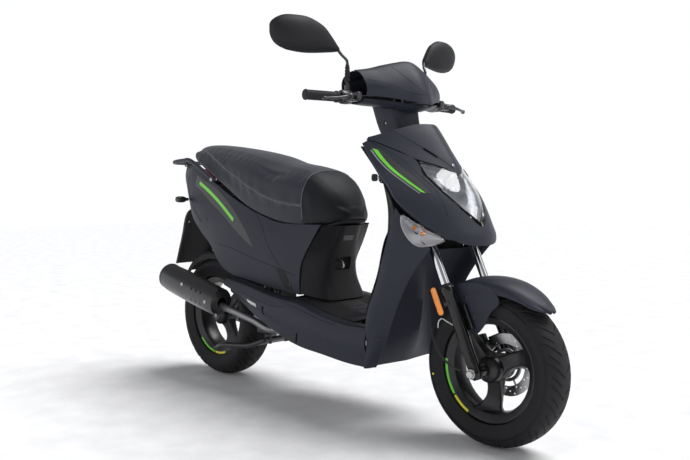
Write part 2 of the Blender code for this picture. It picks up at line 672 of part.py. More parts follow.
def shield(y, z, inset=0.0):
    """The front bodywork's outer surface: how far forward it stands at a height and side."""
    fall = read_off(FALL, z) * (abs(y) / SHIELD_HALF) ** read_off(POWER, z)
    return (read_off(RIDGE, z) - fall - inset, y, z)


def shield_curve(points, inset=0.0):
    return [shield(y, z, inset) for y, z in points]


WING_TOP = [(0.183, 0.916), (0.155, 0.896), (0.128, 0.876), (0.103, 0.853)]
LAMP_SIDE = [(0.104, 0.800), (0.087, 0.750), (0.053, 0.700), (0.0, 0.652)]
OUTER = [(0.200, 0.905), (0.201, 0.868), (0.201, 0.825), (0.201, 0.774), (0.200, 0.724), (0.172, 0.668),
         (0.124, 0.618), (0.0, 0.594)]
shield_rows = between(shield_curve(WING_TOP + LAMP_SIDE), shield_curve(OUTER), 3)
half_shield = [[tuple(p) for p in row] for row in shield_rows]


def two_sided(name, rows, look, parent, thickness, outward):
    """A panel given for the left side whose last row ends on the centre line, then mirrored."""
    part = sheet(name, rows, look, parent, thickness, outward)
    part.modifiers.clear()
    flip = part.modifiers.new("other_side", "MIRROR")
    flip.use_axis = (False, True, False)
    flip.merge_threshold = 0.0001
    shell = part.modifiers.new("wall", "SOLIDIFY")
    shell.thickness = thickness
    shell.offset = -1.0
    return part


two_sided("front_shield", half_shield, ANTHRACITE, ORIGIN, 0.003, (1, 0.2, 0))

cowl_low = [(0.0, 0.811), (0.048, 0.832), (0.1005, 0.855), (0.1265, 0.878), (0.1535, 0.898), (0.182,
                                                                                              0.9185)]
cowl_high = [(0.0, 0.968), (0.050, 0.966), (0.098, 0.953), (0.135, 0.941), (0.160, 0.932), (0.182, 0.924)]
sheet("front_cowl", list(zip(*between(shield_curve(cowl_low), shield_curve(cowl_high), 2))), ANTHRACITE,
      ORIGIN,
      PANEL, (1, 0, 0.3), both=True)

lens_side = [(0.0985, 0.8485), (0.0990, 0.8005), (0.0820, 0.7530), (0.0480, 0.7045)]
lens_mid = [(0.0, 0.8080), (0.0, 0.770), (0.0, 0.730), (0.0, 0.6920)]
lens_rows = []
for (side_y, side_z), (mid_y, mid_z) in zip(lens_side, lens_mid):
    lens_rows.append([shield(side_y * k / 3, mid_z + (side_z - mid_z) * k / 3) for k in range(4)])
lens_rows.append([shield(0.003 * k, 0.6625 + 0.0020 * k) for k in range(4)])
sheet("headlight_lens", lens_rows, CLEAR, ORIGIN, 0.002, (1, 0, 0), both=True)


def lamp_ring(shrink, inset):
    """The lamp's outline, shrunk about its middle and set back."""
    middle_z = 0.765
    outline = [(0.0, 0.805), (0.095, 0.846), (0.097, 0.800), (0.080, 0.753), (0.046, 0.704), (0.0, 0.662)]
    right = [(-y, z) for y, z in outline[1:-1]][::-1]
    ring = []
    for y, z in outline + right:
        x, y, z = shield(y * shrink, middle_z + (z - middle_z) * shrink, inset)
        ring.append((x, y, z))
    return ring


solid_loft("headlight_housing", [lamp_ring(0.93, 0.012), lamp_ring(0.80, 0.045), lamp_ring(0.45, 0.085)],
           CHROME,
           ORIGIN)

for side, label in ((-1, "right"), (1, "left")):
    face = [(0.1955, 0.7040), (0.1705, 0.6555), (0.1320, 0.6100), (0.151, 0.598), (0.178, 0.630), (0.1965,
                                                                                                   0.666)]
    outer_ring = [shield(side * y, z, 0.002) for y, z in face]
    inner_ring = [shield(side * (y * 0.94), z, 0.026) for y, z in face]
    solid_loft("indicator_front_" + label, [outer_ring, inner_ring], CLEAR, ORIGIN)

# ---------------------------------------------------------------- leg shield
REAR_EDGE = ((0.20, 0.300), (0.28, 0.311), (0.35, 0.318), (0.40, 0.330), (0.45, 0.354), (0.50, 0.371),
             (0.55, 0.385),
             (0.62, 0.404), (0.66, 0.420), (0.70, 0.440))
FRONT_EDGE = ((0.20, 0.322), (0.279, 0.362), (0.338, 0.385), (0.404, 0.413), (0.484, 0.454), (0.53,
                                                                                              0.481),
              (0.60, 0.517))
CENTRE_FACE = ((0.20, 0.318), (0.30, 0.368), (0.40, 0.385), (0.50, 0.385), (0.60, 0.375))
YOKE_CLEARANCE = 0.020
leg_rows = []
for z, top_lift in ((0.590, 1.0), (0.530, 0.0), (0.470, 0.0), (0.400, 0.0), (0.338, 0.0), (0.279, 0.0),
                    (0.201, 0.0)):
    rear_z = z + 0.070 * top_lift
    side_z = z + 0.022 * top_lift
    rear = read_off(REAR_EDGE, rear_z)
    front = read_off(FRONT_EDGE, z)
    centre = read_off(CENTRE_FACE, z)
    recess = max(0.0, front - 0.09) if z > 0.5 else front - 0.02 - 0.25 * (z - 0.21)
    half = 0.198 if z > 0.3 else 0.188
    middle_z = z - YOKE_CLEARANCE * top_lift
    leg_rows.append([(centre, 0.0, middle_z), (recess, 0.128, middle_z), (front, 0.150, z),
                     (rear + (front - rear) * 0.55, 0.180, side_z), (rear + 0.003, half, rear_z)])
sheet("leg_shield", leg_rows, ANTHRACITE, ORIGIN, PANEL, (1, 0, 0), both=True)

inner_rows = []
for z, centre_x in ((0.895, 0.244), (0.80, 0.262), (0.70, 0.285), (0.60, 0.285), (0.50, 0.272), (0.40,
                                                                                                 0.244),
                    (0.352, 0.228)):
    edge_x = read_off(REAR_EDGE, z) if z < 0.7 else read_off(((0.70, 0.438), (0.724, 0.447), (0.80,
                                                                                              0.382),
                                                               (0.895, 0.300)), z)
    edge_y = 0.194 if z > 0.36 else 0.186
    inner_rows.append([(centre_x, 0.0, z), (centre_x + 0.004, 0.060, z),
                       (centre_x + (edge_x - centre_x) * 0.45, 0.120, z), (edge_x - 0.006, edge_y, z)])
leg_inner = sheet("leg_shield_inner", inner_rows, BLACK, ORIGIN, PANEL, (-1, 0, 0), both=True)
key_hole = rod("key_hole", KEY_POINT + Vector((-0.05, 0, 0)), KEY_POINT + Vector((0.08, 0, 0)), 0.0135,
               BLACK, ORIGIN,
               12)
cut(leg_inner, key_hole)
ignition = rod("ignition_lock", KEY_POINT + Vector((-0.004, 0, 0)), KEY_POINT + Vector((0.045, 0, 0)),
               0.012, STEEL,
               KEY, 12)
bow = block("key_bow", KEY_POINT + Vector((-0.022, 0, 0)), (0.040, 0.004, 0.024), BLACK, KEY, 0.0015)
join(ignition, bow)

# ---------------------------------------------------------------- floor and skirts
FLOOR_Z = ((-0.50, 0.432), (-0.40, 0.425), (-0.25, 0.406), (-0.14, 0.388), (-0.02, 0.378), (0.11, 0.348),
           (0.20, 0.336), (0.33, 0.335))
floor_rows = []
for x in (0.225, 0.150, 0.070, -0.020, -0.080):
    height = read_off(FLOOR_Z, x)
    floor_rows.append([(x, 0.0, height + 0.006), (x, 0.100, height + 0.004), (x, 0.150, height + 0.001)])
sheet("footboard", floor_rows, BLACK, ORIGIN, 0.006, (0, 0, 1), both=True)

for side, label in ((-1, "right"), (1, "left")):
    rows = []
    for x, low, lower_half in ((0.294, 0.200, 0.172), (0.210, 0.203, 0.176), (0.100, 0.213, 0.176),
                               (-0.010, 0.222, 0.174), (-0.100, 0.240, 0.172), (-0.165, 0.262, 0.170),
                               (-0.250, 0.292, 0.168), (-0.340, 0.330, 0.160), (-0.440, 0.372, 0.150)):
        high = read_off(FLOOR_Z, x)
        waist = high - 0.055 if x > -0.2 else (high + low) / 2
        top_half = 0.190 if x > -0.2 else 0.190 + (x + 0.2) * 0.06
        rows.append([(x, side * (top_half - 0.036), high - 0.001), (x, side * top_half, high - 0.012),
                     (x, side * (top_half + 0.006), waist), (x, side * (lower_half + 0.006), low + 0.03),
                     (x, side * lower_half, low)])
    sheet("side_skirt_" + label, rows, ANTHRACITE, ORIGIN, PANEL, (0, side, 0))

# ---------------------------------------------------------------- body under the seat
centre_rows = []
for z, front_x, corner_half, side_x, side_half, side_z in ((0.636, 0.066, 0.060, 0.034, 0.112, 0.636),
                                                           (0.580, 0.040, 0.070, -0.004, 0.126, 0.578),
                                                           (0.515, 0.018, 0.080, -0.046, 0.131, 0.510),
                                                           (0.450, 0.014, 0.090, -0.057, 0.131, 0.452),
                                                           (0.376, 0.040, 0.100, -0.058, 0.134, 0.396)):
    centre_rows.append([(front_x, 0.0, z), (front_x - 0.002, corner_half * 0.6, z),
                        (front_x - 0.016, corner_half, z + (side_z - z) * 0.3), (side_x, side_half,
                                                                                 side_z)])
sheet("center_cover", centre_rows, BLACK, ORIGIN, PANEL, (1, 0, 0), both=True)

BODY_TOP = ((-0.84, 0.862), (-0.76, 0.858), (-0.71, 0.848), (-0.673, 0.835), (-0.516, 0.762), (-0.405,
                                                                                               0.714), (-0.307, 0.679),
            (-0.218, 0.653), (-0.133, 0.638), (-0.062, 0.634))
BODY_LOW = ((-0.84, 0.772), (-0.80, 0.700), (-0.735, 0.630), (-0.669, 0.585), (-0.600, 0.540), (-0.500,
                                                                                                0.450),
            (-0.420, 0.432), (-0.300, 0.418), (-0.180, 0.402), (-0.066, 0.392))
BODY_HALF = ((-0.84, 0.078), (-0.78, 0.104), (-0.70, 0.122), (-0.60, 0.134), (-0.45, 0.146), (-0.30,
                                                                                              0.148),
             (-0.15, 0.142), (-0.066, 0.131))
for side, label in ((-1, "right"), (1, "left")):
    rows = [[(0.026, side * 0.122, 0.640), (-0.012, side * 0.132, 0.578), (-0.056, side * 0.137, 0.504),
             (-0.066, side * 0.136, 0.442), (-0.066, side * 0.130, 0.392)]]
    for x in (-0.150, -0.240, -0.330, -0.430, -0.520, -0.600, -0.680, -0.760, -0.840):
        high = read_off(BODY_TOP, x)
        low = read_off(BODY_LOW, x)
        half = read_off(BODY_HALF, x)
        rows.append([(x, side * (half - 0.010), high), (x, side * half, high - (high - low) * 0.25),
                     (x, side * (half + 0.004), high - (high - low) * 0.55),
                     (x, side * (half + 0.002), high - (high - low) * 0.8), (x, side * (half - 0.004),
                                                                             low)])
    sheet("body_side_" + label, rows, ANTHRACITE, ORIGIN, PANEL, (0, side, 0))

lamp_rings = []
for x, half, low, high in ((-0.815, 0.055, 0.772, 0.842), (-0.858, 0.058, 0.770, 0.838), (-0.876, 0.040,
                                                                                          0.780, 0.826)):
    lamp_rings.append([(x, -half, low), (x, half, low), (x, half, high), (x, -half, high)])
solid_loft("tail_light", lamp_rings, RED, ORIGIN)

for side, label in ((-1, "right"), (1, "left")):
    stalk = rod("indicator_rear_" + label, (-0.788, side * 0.107, 0.716), (-0.788, side * 0.130, 0.716),
                0.006,
                BLACK, ORIGIN, 10)
    lamp = block("indicator_rear_lamp_" + label, (-0.790, side * 0.138, 0.716), (0.034, 0.046, 0.026),
                 BLACK, ORIGIN,
                 0.009)
    join(stalk, lamp)

rail_left = [(-0.545, 0.146, 0.790), (-0.640, 0.142, 0.838), (-0.735, 0.130, 0.874), (-0.860, 0.112,
                                                                                      0.872),
             (-0.905, 0.092, 0.868)]
rail = rail_left + [(-0.912, 0.0, 0.868)] + mirror_y(rail_left)[::-1]
grab_rail = tube("grab_rail", rail, 0.0085, ANTHRACITE, ORIGIN)
join(grab_rail, block("carrier_plate", (-0.866, 0.0, 0.8685), (0.080, 0.206, 0.005), ANTHRACITE, ORIGIN))

guard_points = []
for x, z, half in ((-0.780, 0.690, 0.060), (-0.845, 0.660, 0.085), (-0.885, 0.560, 0.086), (-0.936, 0.440,
                                                                                            0.084)):
    guard_points.append([(x, 0.0, z), (x + 0.004, half * 0.8, z), (x + 0.030, half, z)])
sheet("rear_mudguard", guard_points, BLACK, ORIGIN, 0.003, (-1, 0, 0), both=True)

# ---------------------------------------------------------------- frame, tank, bucket and battery
frame = tube("frame", [(0.395, 0, 0.690), (0.330, 0, 0.600), (0.300, 0, 0.450), (0.270, 0, 0.330), (0.215,
                                                                                                    0, 0.272),
                       (0.100, 0, 0.268), (-0.170, 0, 0.268)], 0.020, BLACK, ORIGIN)
head_tube = rod("head_tube", on_steering(0.452), on_steering(0.640), 0.026, BLACK, ORIGIN, 14)
join(frame, head_tube)
for side in (-1, 1):
    rail_route = [(0.180, side * 0.010, 0.268), (0.120, side * 0.095, 0.268), (-0.120, side * 0.100,
                                                                               0.272),
                  (-0.240, side * 0.100, 0.330), (-0.330, side * 0.100, 0.560), (-0.480, side * 0.098,
                                                                                 0.640),
                  (-0.770, side * 0.066, 0.800)]
    rail_tube = tube("frame_rail_%d" % side, rail_route, 0.0135, BLACK, ORIGIN)
    join(frame, rail_tube)
for name, x, z, half in (("front_cross", -0.120, 0.272, 0.100), ("rear_cross", -0.480, 0.640, 0.098),
                         ("tail_cross", -0.740, 0.783, 0.070)):
    join(frame, rod("frame_" + name, (x, -half, z), (x, half, z), 0.011, BLACK, ORIGIN, 10))
hanger = rod("engine_hanger", (-0.236, -0.098, 0.320), (-0.236, 0.098, 0.320), 0.011, BLACK, ORIGIN, 10)
join(frame, hanger)
for side in (-1, 1):
    ear = block("pivot_ear_%d" % side, (-0.262, side * 0.052, 0.290), (0.110, 0.008, 0.060), BLACK,
                ORIGIN)
    join(frame, ear)
bolt = rod("pivot_bolt", (ENGINE_PIVOT.x, -0.056, ENGINE_PIVOT.z), (ENGINE_PIVOT.x, 0.056,
                                                                    ENGINE_PIVOT.z), 0.006,
           BLACK, ORIGIN, 12)
join(frame, bolt)
shock_ear = block("shock_ear", (-0.595, 0.0825, 0.650), (0.034, 0.010, 0.110), BLACK, ORIGIN)
shock_pin = rod("shock_pin", (SHOCK_TOP.x, 0.080, SHOCK_TOP.z), (SHOCK_TOP.x, 0.114, SHOCK_TOP.z), 0.0055,
                BLACK, ORIGIN,
                12)
join(frame, shock_ear, shock_pin)
bore = rod("head_bore", on_steering(0.440), on_steering(0.660), STEM_RADIUS + 0.0006, BLACK, ORIGIN, 14)
cut(frame, bore)

block("battery", (0.020, 0.0, 0.318), (0.115, 0.070, 0.060), BLACK, ORIGIN, 0.004)
block("fuel_tank", (-0.640, 0.0, 0.700), (0.220, 0.110, 0.070), BLACK, ORIGIN, 0.012)
bucket_rows = []
for z, shrink in ((0.632, 1.0), (0.520, 0.92), (0.430, 0.84)):
    ring = []
    for cx, cy in ((-0.040, 0.052), (-0.075, 0.085), (-0.280, 0.085), (-0.310, 0.052), (-0.310, -0.052),
                   (-0.280, -0.085), (-0.075, -0.085), (-0.040, -0.052)):
        ring.append((-0.175 + (cx + 0.175) * shrink, cy * shrink, z))
    bucket_rows.append(ring)
bucket = solid_loft("storage_bucket", bucket_rows, BLACK, ORIGIN)
inner_rows = []
for ring, z in zip(bucket_rows, (0.660, 0.520, 0.434)):
    inner_rows.append([(-0.175 + (x + 0.175) * 0.95, y * 0.94, z) for x, y, _ in ring])
cut(bucket, solid_loft("bucket_hollow", inner_rows, BLACK, ORIGIN))

# ---------------------------------------------------------------- seat
SEAT_TABLE = ((-0.775, 0.928, 0.902, 0.070), (-0.745, 0.938, 0.880, 0.100), (-0.650, 0.934, 0.842, 0.122),
              (-0.500, 0.916, 0.778, 0.140), (-0.355, 0.892, 0.712, 0.152), (-0.220, 0.858, 0.674, 0.154),
              (-0.120, 0.842, 0.660, 0.150), (-0.030, 0.818, 0.660, 0.136), (0.030, 0.776, 0.660, 0.112),
              (0.070, 0.732, 0.662, 0.076), (0.088, 0.702, 0.666, 0.040))
cushion_rings = []
for x, high, low, half in SEAT_TABLE:
    shoulder = low + (high - low) * 0.62
    cushion_rings.append([(x, -half * 0.93, low), (x, -half, low + (high - low) * 0.25), (x, -half * 0.92,
                                                                                          shoulder),
                          (x, -half * 0.55, high - 0.010), (x, 0.0, high), (x, half * 0.55, high - 0.010),
                          (x, half * 0.92, shoulder), (x, half, low + (high - low) * 0.25), (x,
                                                                                             half * 0.93, low)])
solid_loft("seat_cushion", cushion_rings, SEAT_GREY, SEAT)
base_rings = []
for x, high, low, half in SEAT_TABLE[1:-1]:
    top = low - GAP * 3
    base_rings.append([(x, -half * 0.90, top), (x, half * 0.90, top), (x, half * 0.86, top - 0.008),
                       (x, -half * 0.86, top - 0.008)])
seat_base = solid_loft("seat_base", base_rings, BLACK, SEAT)

# ---------------------------------------------------------------- engine unit
crankcase = block("crankcase", (-0.370, 0.0345, 0.262), (0.074, 0.183, 0.120), CAST, ENGINE, 0.010)
for side in (-1, 1):
    lug = block("engine_lug_%d" % side, (-0.324, side * 0.036, 0.262), (0.072, 0.014, 0.040), CAST,
                ENGINE)
    stand_lug = block("stand_lug_%d" % side, (-0.350, side * 0.040, 0.194), (0.034, 0.012, 0.050), CAST,
                      ENGINE)
    join(crankcase, lug, stand_lug)
head = block("cylinder_head", (-0.340, 0.0, 0.346), (0.130, 0.088, 0.076), CAST, ENGINE, 0.006)
arm = block("swing_arm_case", (-0.5425, 0.104, 0.258), (0.365, 0.044, 0.085), CAST, ENGINE, 0.010)
stub = rod("output_shaft", (REAR_AXLE.x, -0.056, REAR_AXLE.z), (REAR_AXLE.x, 0.110, REAR_AXLE.z),
           AXLE_RADIUS, CAST,
           ENGINE, 16)
final_drive = rod("final_drive", (REAR_AXLE.x, 0.0535, REAR_AXLE.z), (REAR_AXLE.x, 0.124, REAR_AXLE.z),
                  0.045, CAST,
                  ENGINE, 16)
foot = block("shock_foot", (SHOCK_BOTTOM.x, 0.0825, 0.324), (0.030, 0.010, 0.074), CAST, ENGINE)
foot_pin = rod("shock_foot_pin", (SHOCK_BOTTOM.x, 0.080, SHOCK_BOTTOM.z), (SHOCK_BOTTOM.x, 0.114,
                                                                           SHOCK_BOTTOM.z),
               0.0045, CAST, ENGINE, 12)
join(crankcase, head, arm, stub, final_drive, foot, foot_pin)
for name, point, radius in (("engine_pivot", ENGINE_PIVOT, 0.0066), ("stand_pivot", STAND_PIVOT, 0.0116)):
    cut(crankcase, rod(name + "_hole", point - Vector((0, 0.1, 0)), point + Vector((0, 0.1, 0)), radius,
                       CAST, ENGINE,
                       14))
block("cvt_cover", (-0.520, 0.1425, 0.258), (0.400, 0.030, 0.118), CAST, ENGINE, 0.012)
block("air_cleaner", (-0.608, 0.154, 0.358), (0.196, 0.038, 0.070), BLACK, ENGINE, 0.010)

muffler_low = Vector((-0.500, -0.148, 0.322))
muffler_high = Vector((-0.868, -0.148, 0.398))
muffler = rod("muffler", muffler_low, muffler_high, 0.052, CAST, ENGINE, 12)
shield_block = rod("muffler_shield", muffler_low + Vector((-0.01, -0.012, 0.008)),
                   muffler_high + Vector((0.03, -0.012, 0.008)), 0.055, CAST, ENGINE, 10)
tail_pipe = rod("tail_pipe", muffler_high + Vector((0.01, 0.0, -0.012)), muffler_high + Vector((-0.030, 0,
                                                                                                -0.016)),
                0.010, CAST, ENGINE, 10)
down_pipe = tube("exhaust_pipe", [(-0.520, -0.140, 0.310), (-0.440, -0.118, 0.285), (-0.360, -0.100,
                                                                                     0.262),
                                  (-0.300, -0.085, 0.235), (-0.262, -0.055, 0.236)], 0.014, CAST, ENGINE)
join(muffler, shield_block, tail_pipe, down_pipe)
chamber = rod("muffler_chamber", muffler_low + Vector((-0.006, 0, 0.001)), muffler_high + Vector((0.006,
                                                                                                  0, -0.001)), 0.048,
              CAST, ENGINE, 12)
shield_room = rod("shield_chamber", muffler_low + Vector((-0.016, -0.012, 0.009)),
                  muffler_high + Vector((0.036, -0.012, 0.007)), 0.050, CAST, ENGINE, 10)
outlet = rod("tail_pipe_bore", muffler_high + Vector((0.03, 0.0, -0.012)), muffler_high + Vector((-0.040,
                                                                                                  0, -0.017)),
             0.007, CAST, ENGINE, 10)
cut(muffler, chamber, shield_room, outlet)

hugger_rows = []
for degrees, half in ((56, 0.060), (78, 0.069), (102, 0.070), (124, 0.070), (140, 0.066)):
    theta = math.radians(degrees)
    ray = Vector((math.cos(theta), 0.0, math.sin(theta)))
    top = REAR_AXLE + ray * (REAR_TYRE_RADIUS + 0.022)
    hem = REAR_AXLE + ray * (REAR_TYRE_RADIUS - 0.010)
    hugger_rows.append([tuple(top), (top.x, half * 0.75, top.z), (hem.x, half, hem.z)])
sheet("rear_hugger", hugger_rows, BLACK, ENGINE, PANEL, (0, 0, 1), both=True)

kick = tube("kick_lever", [tuple(KICK_PIVOT), (-0.470, 0.184, 0.262), (-0.560, 0.190, 0.275)], 0.0075,
            STEEL, KICK)
kick_boss = rod("kick_boss", KICK_PIVOT - Vector((0, 0.012, 0)), KICK_PIVOT + Vector((0, 0.014, 0)),
                0.013, STEEL,
                KICK, 12)
pedal = block("kick_pedal", (-0.560, 0.208, 0.277), (0.018, 0.050, 0.014), RUBBER, KICK, 0.003)
join(kick, kick_boss, pedal)

# centre stand, folded up under the engine
def stand_leg(name, side):
    return tube(name, [(-0.345, side * 0.062, 0.185), (-0.400, side * 0.092, 0.162), (-0.520,
                                                                                      side * 0.128, 0.152),
                       (-0.552, side * 0.132, 0.138)], 0.010, BLACK, STAND)


stand = stand_leg("centre_stand", -1)
stand_shaft = rod("stand_shaft", (-0.345, -0.064, 0.185), (-0.345, 0.064, 0.185), 0.011, BLACK, STAND, 14)
stand_brace = rod("stand_brace", (-0.420, -0.098, 0.159), (-0.420, 0.098, 0.159), 0.008, BLACK, STAND, 10)
join(stand, stand_leg("stand_leg_left", 1), stand_shaft, stand_brace)

# ---------------------------------------------------------------- rear shock absorber
ROD_RADIUS = 0.0060
COLLAR = 0.0215
top_z = SHOCK_TOP.z
bottom_z = SHOCK_BOTTOM.z
shock_body = turned("shock_body", [(0.0, -0.020), (ROD_RADIUS + GAP, -0.020), (ROD_RADIUS + GAP, -0.140),
                                   (0.0115, -0.140), (0.0115, -0.034), (COLLAR, -0.031), (COLLAR, -0.026),
                                   (0.0115, -0.023), (0.0115, -0.006), (0.0,
                                                                        -0.006)][::-1], 14, BLACK, SHOCK,
                    SHOCK_TOP, (0, 0, 1))
eye = rod("shock_eye", SHOCK_TOP - Vector((0, 0.0125, 0)), SHOCK_TOP + Vector((0, 0.0125, 0)), 0.0125,
          BLACK, SHOCK, 14)
join(shock_body, eye)
cut(shock_body, rod("shock_eye_hole", SHOCK_TOP - Vector((0, 0.05, 0)), SHOCK_TOP + Vector((0, 0.05, 0)),
                    0.0061,
                    BLACK, SHOCK, 12))
shock_rod = turned("shock_rod", [(0.0, 0.170), (ROD_RADIUS, 0.170), (ROD_RADIUS, 0.042), (COLLAR, 0.039),
                                 (COLLAR, 0.034), (0.0100, 0.031), (0.0100, 0.004), (0.0,
                                                                                     0.004)], 14, CHROME, SHOCK,
                   SHOCK_BOTTOM, (0, 0, 1))
low_eye = rod("shock_low_eye", SHOCK_BOTTOM - Vector((0, 0.0125, 0)), SHOCK_BOTTOM + Vector((0, 0.0125,
                                                                                             0)), 0.0125,
              CHROME, SHOCK, 14)
join(shock_rod, low_eye)
cut(shock_rod, rod("shock_low_hole", SHOCK_BOTTOM - Vector((0, 0.05, 0)), SHOCK_BOTTOM + Vector((0, 0.05,
                                                                                                 0)), 0.0068,
                   CHROME, SHOCK, 12))
COIL_RADIUS = 0.0175
WIRE_RADIUS = 0.0030
COIL_TURNS = 6
coil_low = bottom_z + 0.042 + WIRE_RADIUS + GAP
coil_high = top_z - 0.034 - WIRE_RADIUS - GAP
coil = []
for step in range(COIL_TURNS * 10 + 1):
    angle = 2 * math.pi * step / 10
    coil.append((SHOCK_TOP.x + COIL_RADIUS * math.cos(angle), SHOCK_TOP.y + COIL_RADIUS * math.sin(angle),
                 coil_low + (coil_high - coil_low) * step / (COIL_TURNS * 10)))
tube("shock_spring", coil, WIRE_RADIUS, STEEL, SHOCK)
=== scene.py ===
"""Moped scooter, visible model: fine shells, castings, rubber and cloth over the jointed frame.

Shapes are laid out in design coordinates (x forward from the middle of the wheelbase,
y to the rider's left, z up, metres) and every piece is shifted by ORIGIN_SHIFT at the end.
"""
import math

import bmesh
import bpy
from mathutils import Matrix, Vector
from mathutils.bvhtree import BVHTree


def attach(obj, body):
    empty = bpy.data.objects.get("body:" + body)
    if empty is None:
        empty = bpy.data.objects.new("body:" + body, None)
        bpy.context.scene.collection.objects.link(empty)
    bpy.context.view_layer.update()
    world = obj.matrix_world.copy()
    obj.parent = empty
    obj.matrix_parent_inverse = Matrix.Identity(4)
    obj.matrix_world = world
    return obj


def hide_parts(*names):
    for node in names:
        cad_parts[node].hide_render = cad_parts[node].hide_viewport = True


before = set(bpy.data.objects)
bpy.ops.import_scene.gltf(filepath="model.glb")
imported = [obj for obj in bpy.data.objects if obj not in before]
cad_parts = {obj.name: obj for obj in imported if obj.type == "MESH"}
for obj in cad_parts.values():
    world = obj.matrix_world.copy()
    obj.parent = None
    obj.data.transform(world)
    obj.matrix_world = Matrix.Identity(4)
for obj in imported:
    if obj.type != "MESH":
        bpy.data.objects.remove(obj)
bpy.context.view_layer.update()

ORIGIN_SHIFT = 0.0152
SIDES = ((-1, "right"), (1, "left"))

FRONT_AXLE = Vector((0.6715, 0.0, 0.234))
REAR_AXLE = Vector((-0.6715, 0.0, 0.243))
FRONT_TYRE = (0.234, 0.0585)
REAR_TYRE = (0.243, 0.0645)
RIM_RADIUS = 0.166
RAKE = math.radians(24.9)
STEER_UP = Vector((-math.sin(RAKE), 0.0, math.cos(RAKE)))
STEER_OUT = Vector((math.cos(RAKE), 0.0, math.sin(RAKE)))
STEER_BASE = FRONT_AXLE - Vector((0.0276, 0.0, 0.0))
FORK_HALF = 0.100
BAR_BEND = Vector((0.258, 0.115, 1.050))
BAR_END = Vector((0.219, 0.352, 1.049))
BAR_OUT = (BAR_END - BAR_BEND).normalized()
LEVER_PIVOT = Vector((0.286, 0.228, 1.047))
LEVER_TIP = Vector((0.283, 0.335, 1.034))
SHOCK_TOP = Vector((-0.600, 0.101, 0.610))
SHOCK_BOTTOM = Vector((-0.600, 0.101, 0.345))
KICK_PIVOT = Vector((-0.395, 0.172, 0.255))
KEY_POINT = Vector((0.281, -0.085, 0.800))
SCENE = bpy.context.scene
PANEL = 0.0026
CUT_LOSS = 0.02


# ------------------------------------------------------------------ materials
def look(name, colour, rough, metal=0.0, grain=900.0, bump=0.12, depth=0.0003, wear=0.06, coat=0.0,
         cells=False, clear=0.0, sheen=0.0, dust=0.0, gloss=0.5):
    """A Principled finish with its own grain, patchy roughness and small drifts of colour."""
    mat = bpy.data.materials.new(name)
    mat.use_nodes = True
    nodes = mat.node_tree.nodes
    links = mat.node_tree.links
    shader = nodes["Principled BSDF"]
    shader.inputs["Metallic"].default_value = metal
    shader.inputs["Specular IOR Level"].default_value = gloss
    shader.inputs["Coat Weight"].default_value = coat
    shader.inputs["Coat Roughness"].default_value = 0.08
    shader.inputs["Sheen Weight"].default_value = sheen
    shader.inputs["Transmission Weight"].default_value = clear
    place = nodes.new("ShaderNodeTexCoord")
    patches = nodes.new("ShaderNodeTexNoise")
    patches.inputs["Scale"].default_value = 9.0
    patches.inputs["Detail"].default_value = 6.0
    links.new(place.outputs["Object"], patches.inputs["Vector"])
    spread = nodes.new("ShaderNodeMapRange")
    spread.inputs["From Min"].default_value = 0.3
    spread.inputs["From Max"].default_value = 0.7
    spread.inputs["To Min"].default_value = max(0.02, rough - wear)
    spread.inputs["To Max"].default_value = min(1.0, rough + wear)
    links.new(patches.outputs["Fac"], spread.inputs["Value"])
    links.new(spread.outputs["Result"], shader.inputs["Roughness"])
    ramp = nodes.new("ShaderNodeValToRGB")
    ramp.color_ramp.elements[0].position = 0.3
    ramp.color_ramp.elements[1].position = 0.75
    ramp.color_ramp.elements[0].color = (*[c * 0.93 for c in colour], 1.0)
    ramp.color_ramp.elements[1].color = (*[min(1.0, c * 1.06 + dust) for c in colour], 1.0)
    links.new(patches.outputs["Fac"], ramp.inputs["Fac"])
    links.new(ramp.outputs["Color"], shader.inputs["Base Color"])
    if bump > 0.0:
        if cells:
            fine = nodes.new("ShaderNodeTexVoronoi")
            height = fine.outputs["Distance"]
        else:
            fine = nodes.new("ShaderNodeTexNoise")
            fine.inputs["Detail"].default_value = 3.0
            height = fine.outputs["Fac"]
        fine.inputs["Scale"].default_value = grain
        links.new(place.outputs["Object"], fine.inputs["Vector"])
        relief = nodes.new("ShaderNodeBump")
        relief.inputs["Strength"].default_value = bump
        relief.inputs["Distance"].default_value = depth
        links.new(height, relief.inputs["Height"])
        links.new(relief.outputs["Normal"], shader.inputs["Normal"])
    return mat


PLASTIC = look("anthracite_grained", (0.0215, 0.0235, 0.036), 0.50, grain=1400, bump=0.22, wear=0.05,
               gloss=0.26)
PLASTIC_DARK = look("black_grained", (0.012, 0.012, 0.014), 0.60, grain=1200, bump=0.30, wear=0.06,
                    gloss=0.25)
PLASTIC_GLOSS = look("black_smooth", (0.014, 0.014, 0.016), 0.30, grain=500, bump=0.03)
DECK_RUBBER = look("deck_rubber", (0.024, 0.024, 0.026), 0.72, grain=1600, bump=0.4, gloss=0.25)
TYRE_RUBBER = look("tyre_rubber", (0.013, 0.013, 0.0145), 0.66, grain=700, bump=0.25, dust=0.004,
                   gloss=0.22)
GRIP_RUBBER = look("grip_rubber", (0.018, 0.018, 0.020), 0.66, grain=1500, bump=0.3, gloss=0.3)
LEATHER = look("seat_leatherette", (0.023, 0.026, 0.037), 0.52, grain=520, bump=0.30, depth=0.0005,
               cells=True, sheen=0.12, gloss=0.25)
LEATHER_DARK = look("seat_nose_leatherette", (0.010, 0.011, 0.014), 0.55, grain=520, bump=0.35,
                    depth=0.0005, cells=True, gloss=0.22)
PIPING = look("seat_piping", (0.11, 0.115, 0.13), 0.55, grain=900, bump=0.25)
THREAD = look("seat_thread", (0.20, 0.20, 0.21), 0.7, grain=2500, bump=0.3)
GLOSS_PAINT = look("gloss_black_paint", (0.006, 0.006, 0.007), 0.16, grain=300, bump=0.02, coat=0.25,
                   gloss=0.3)
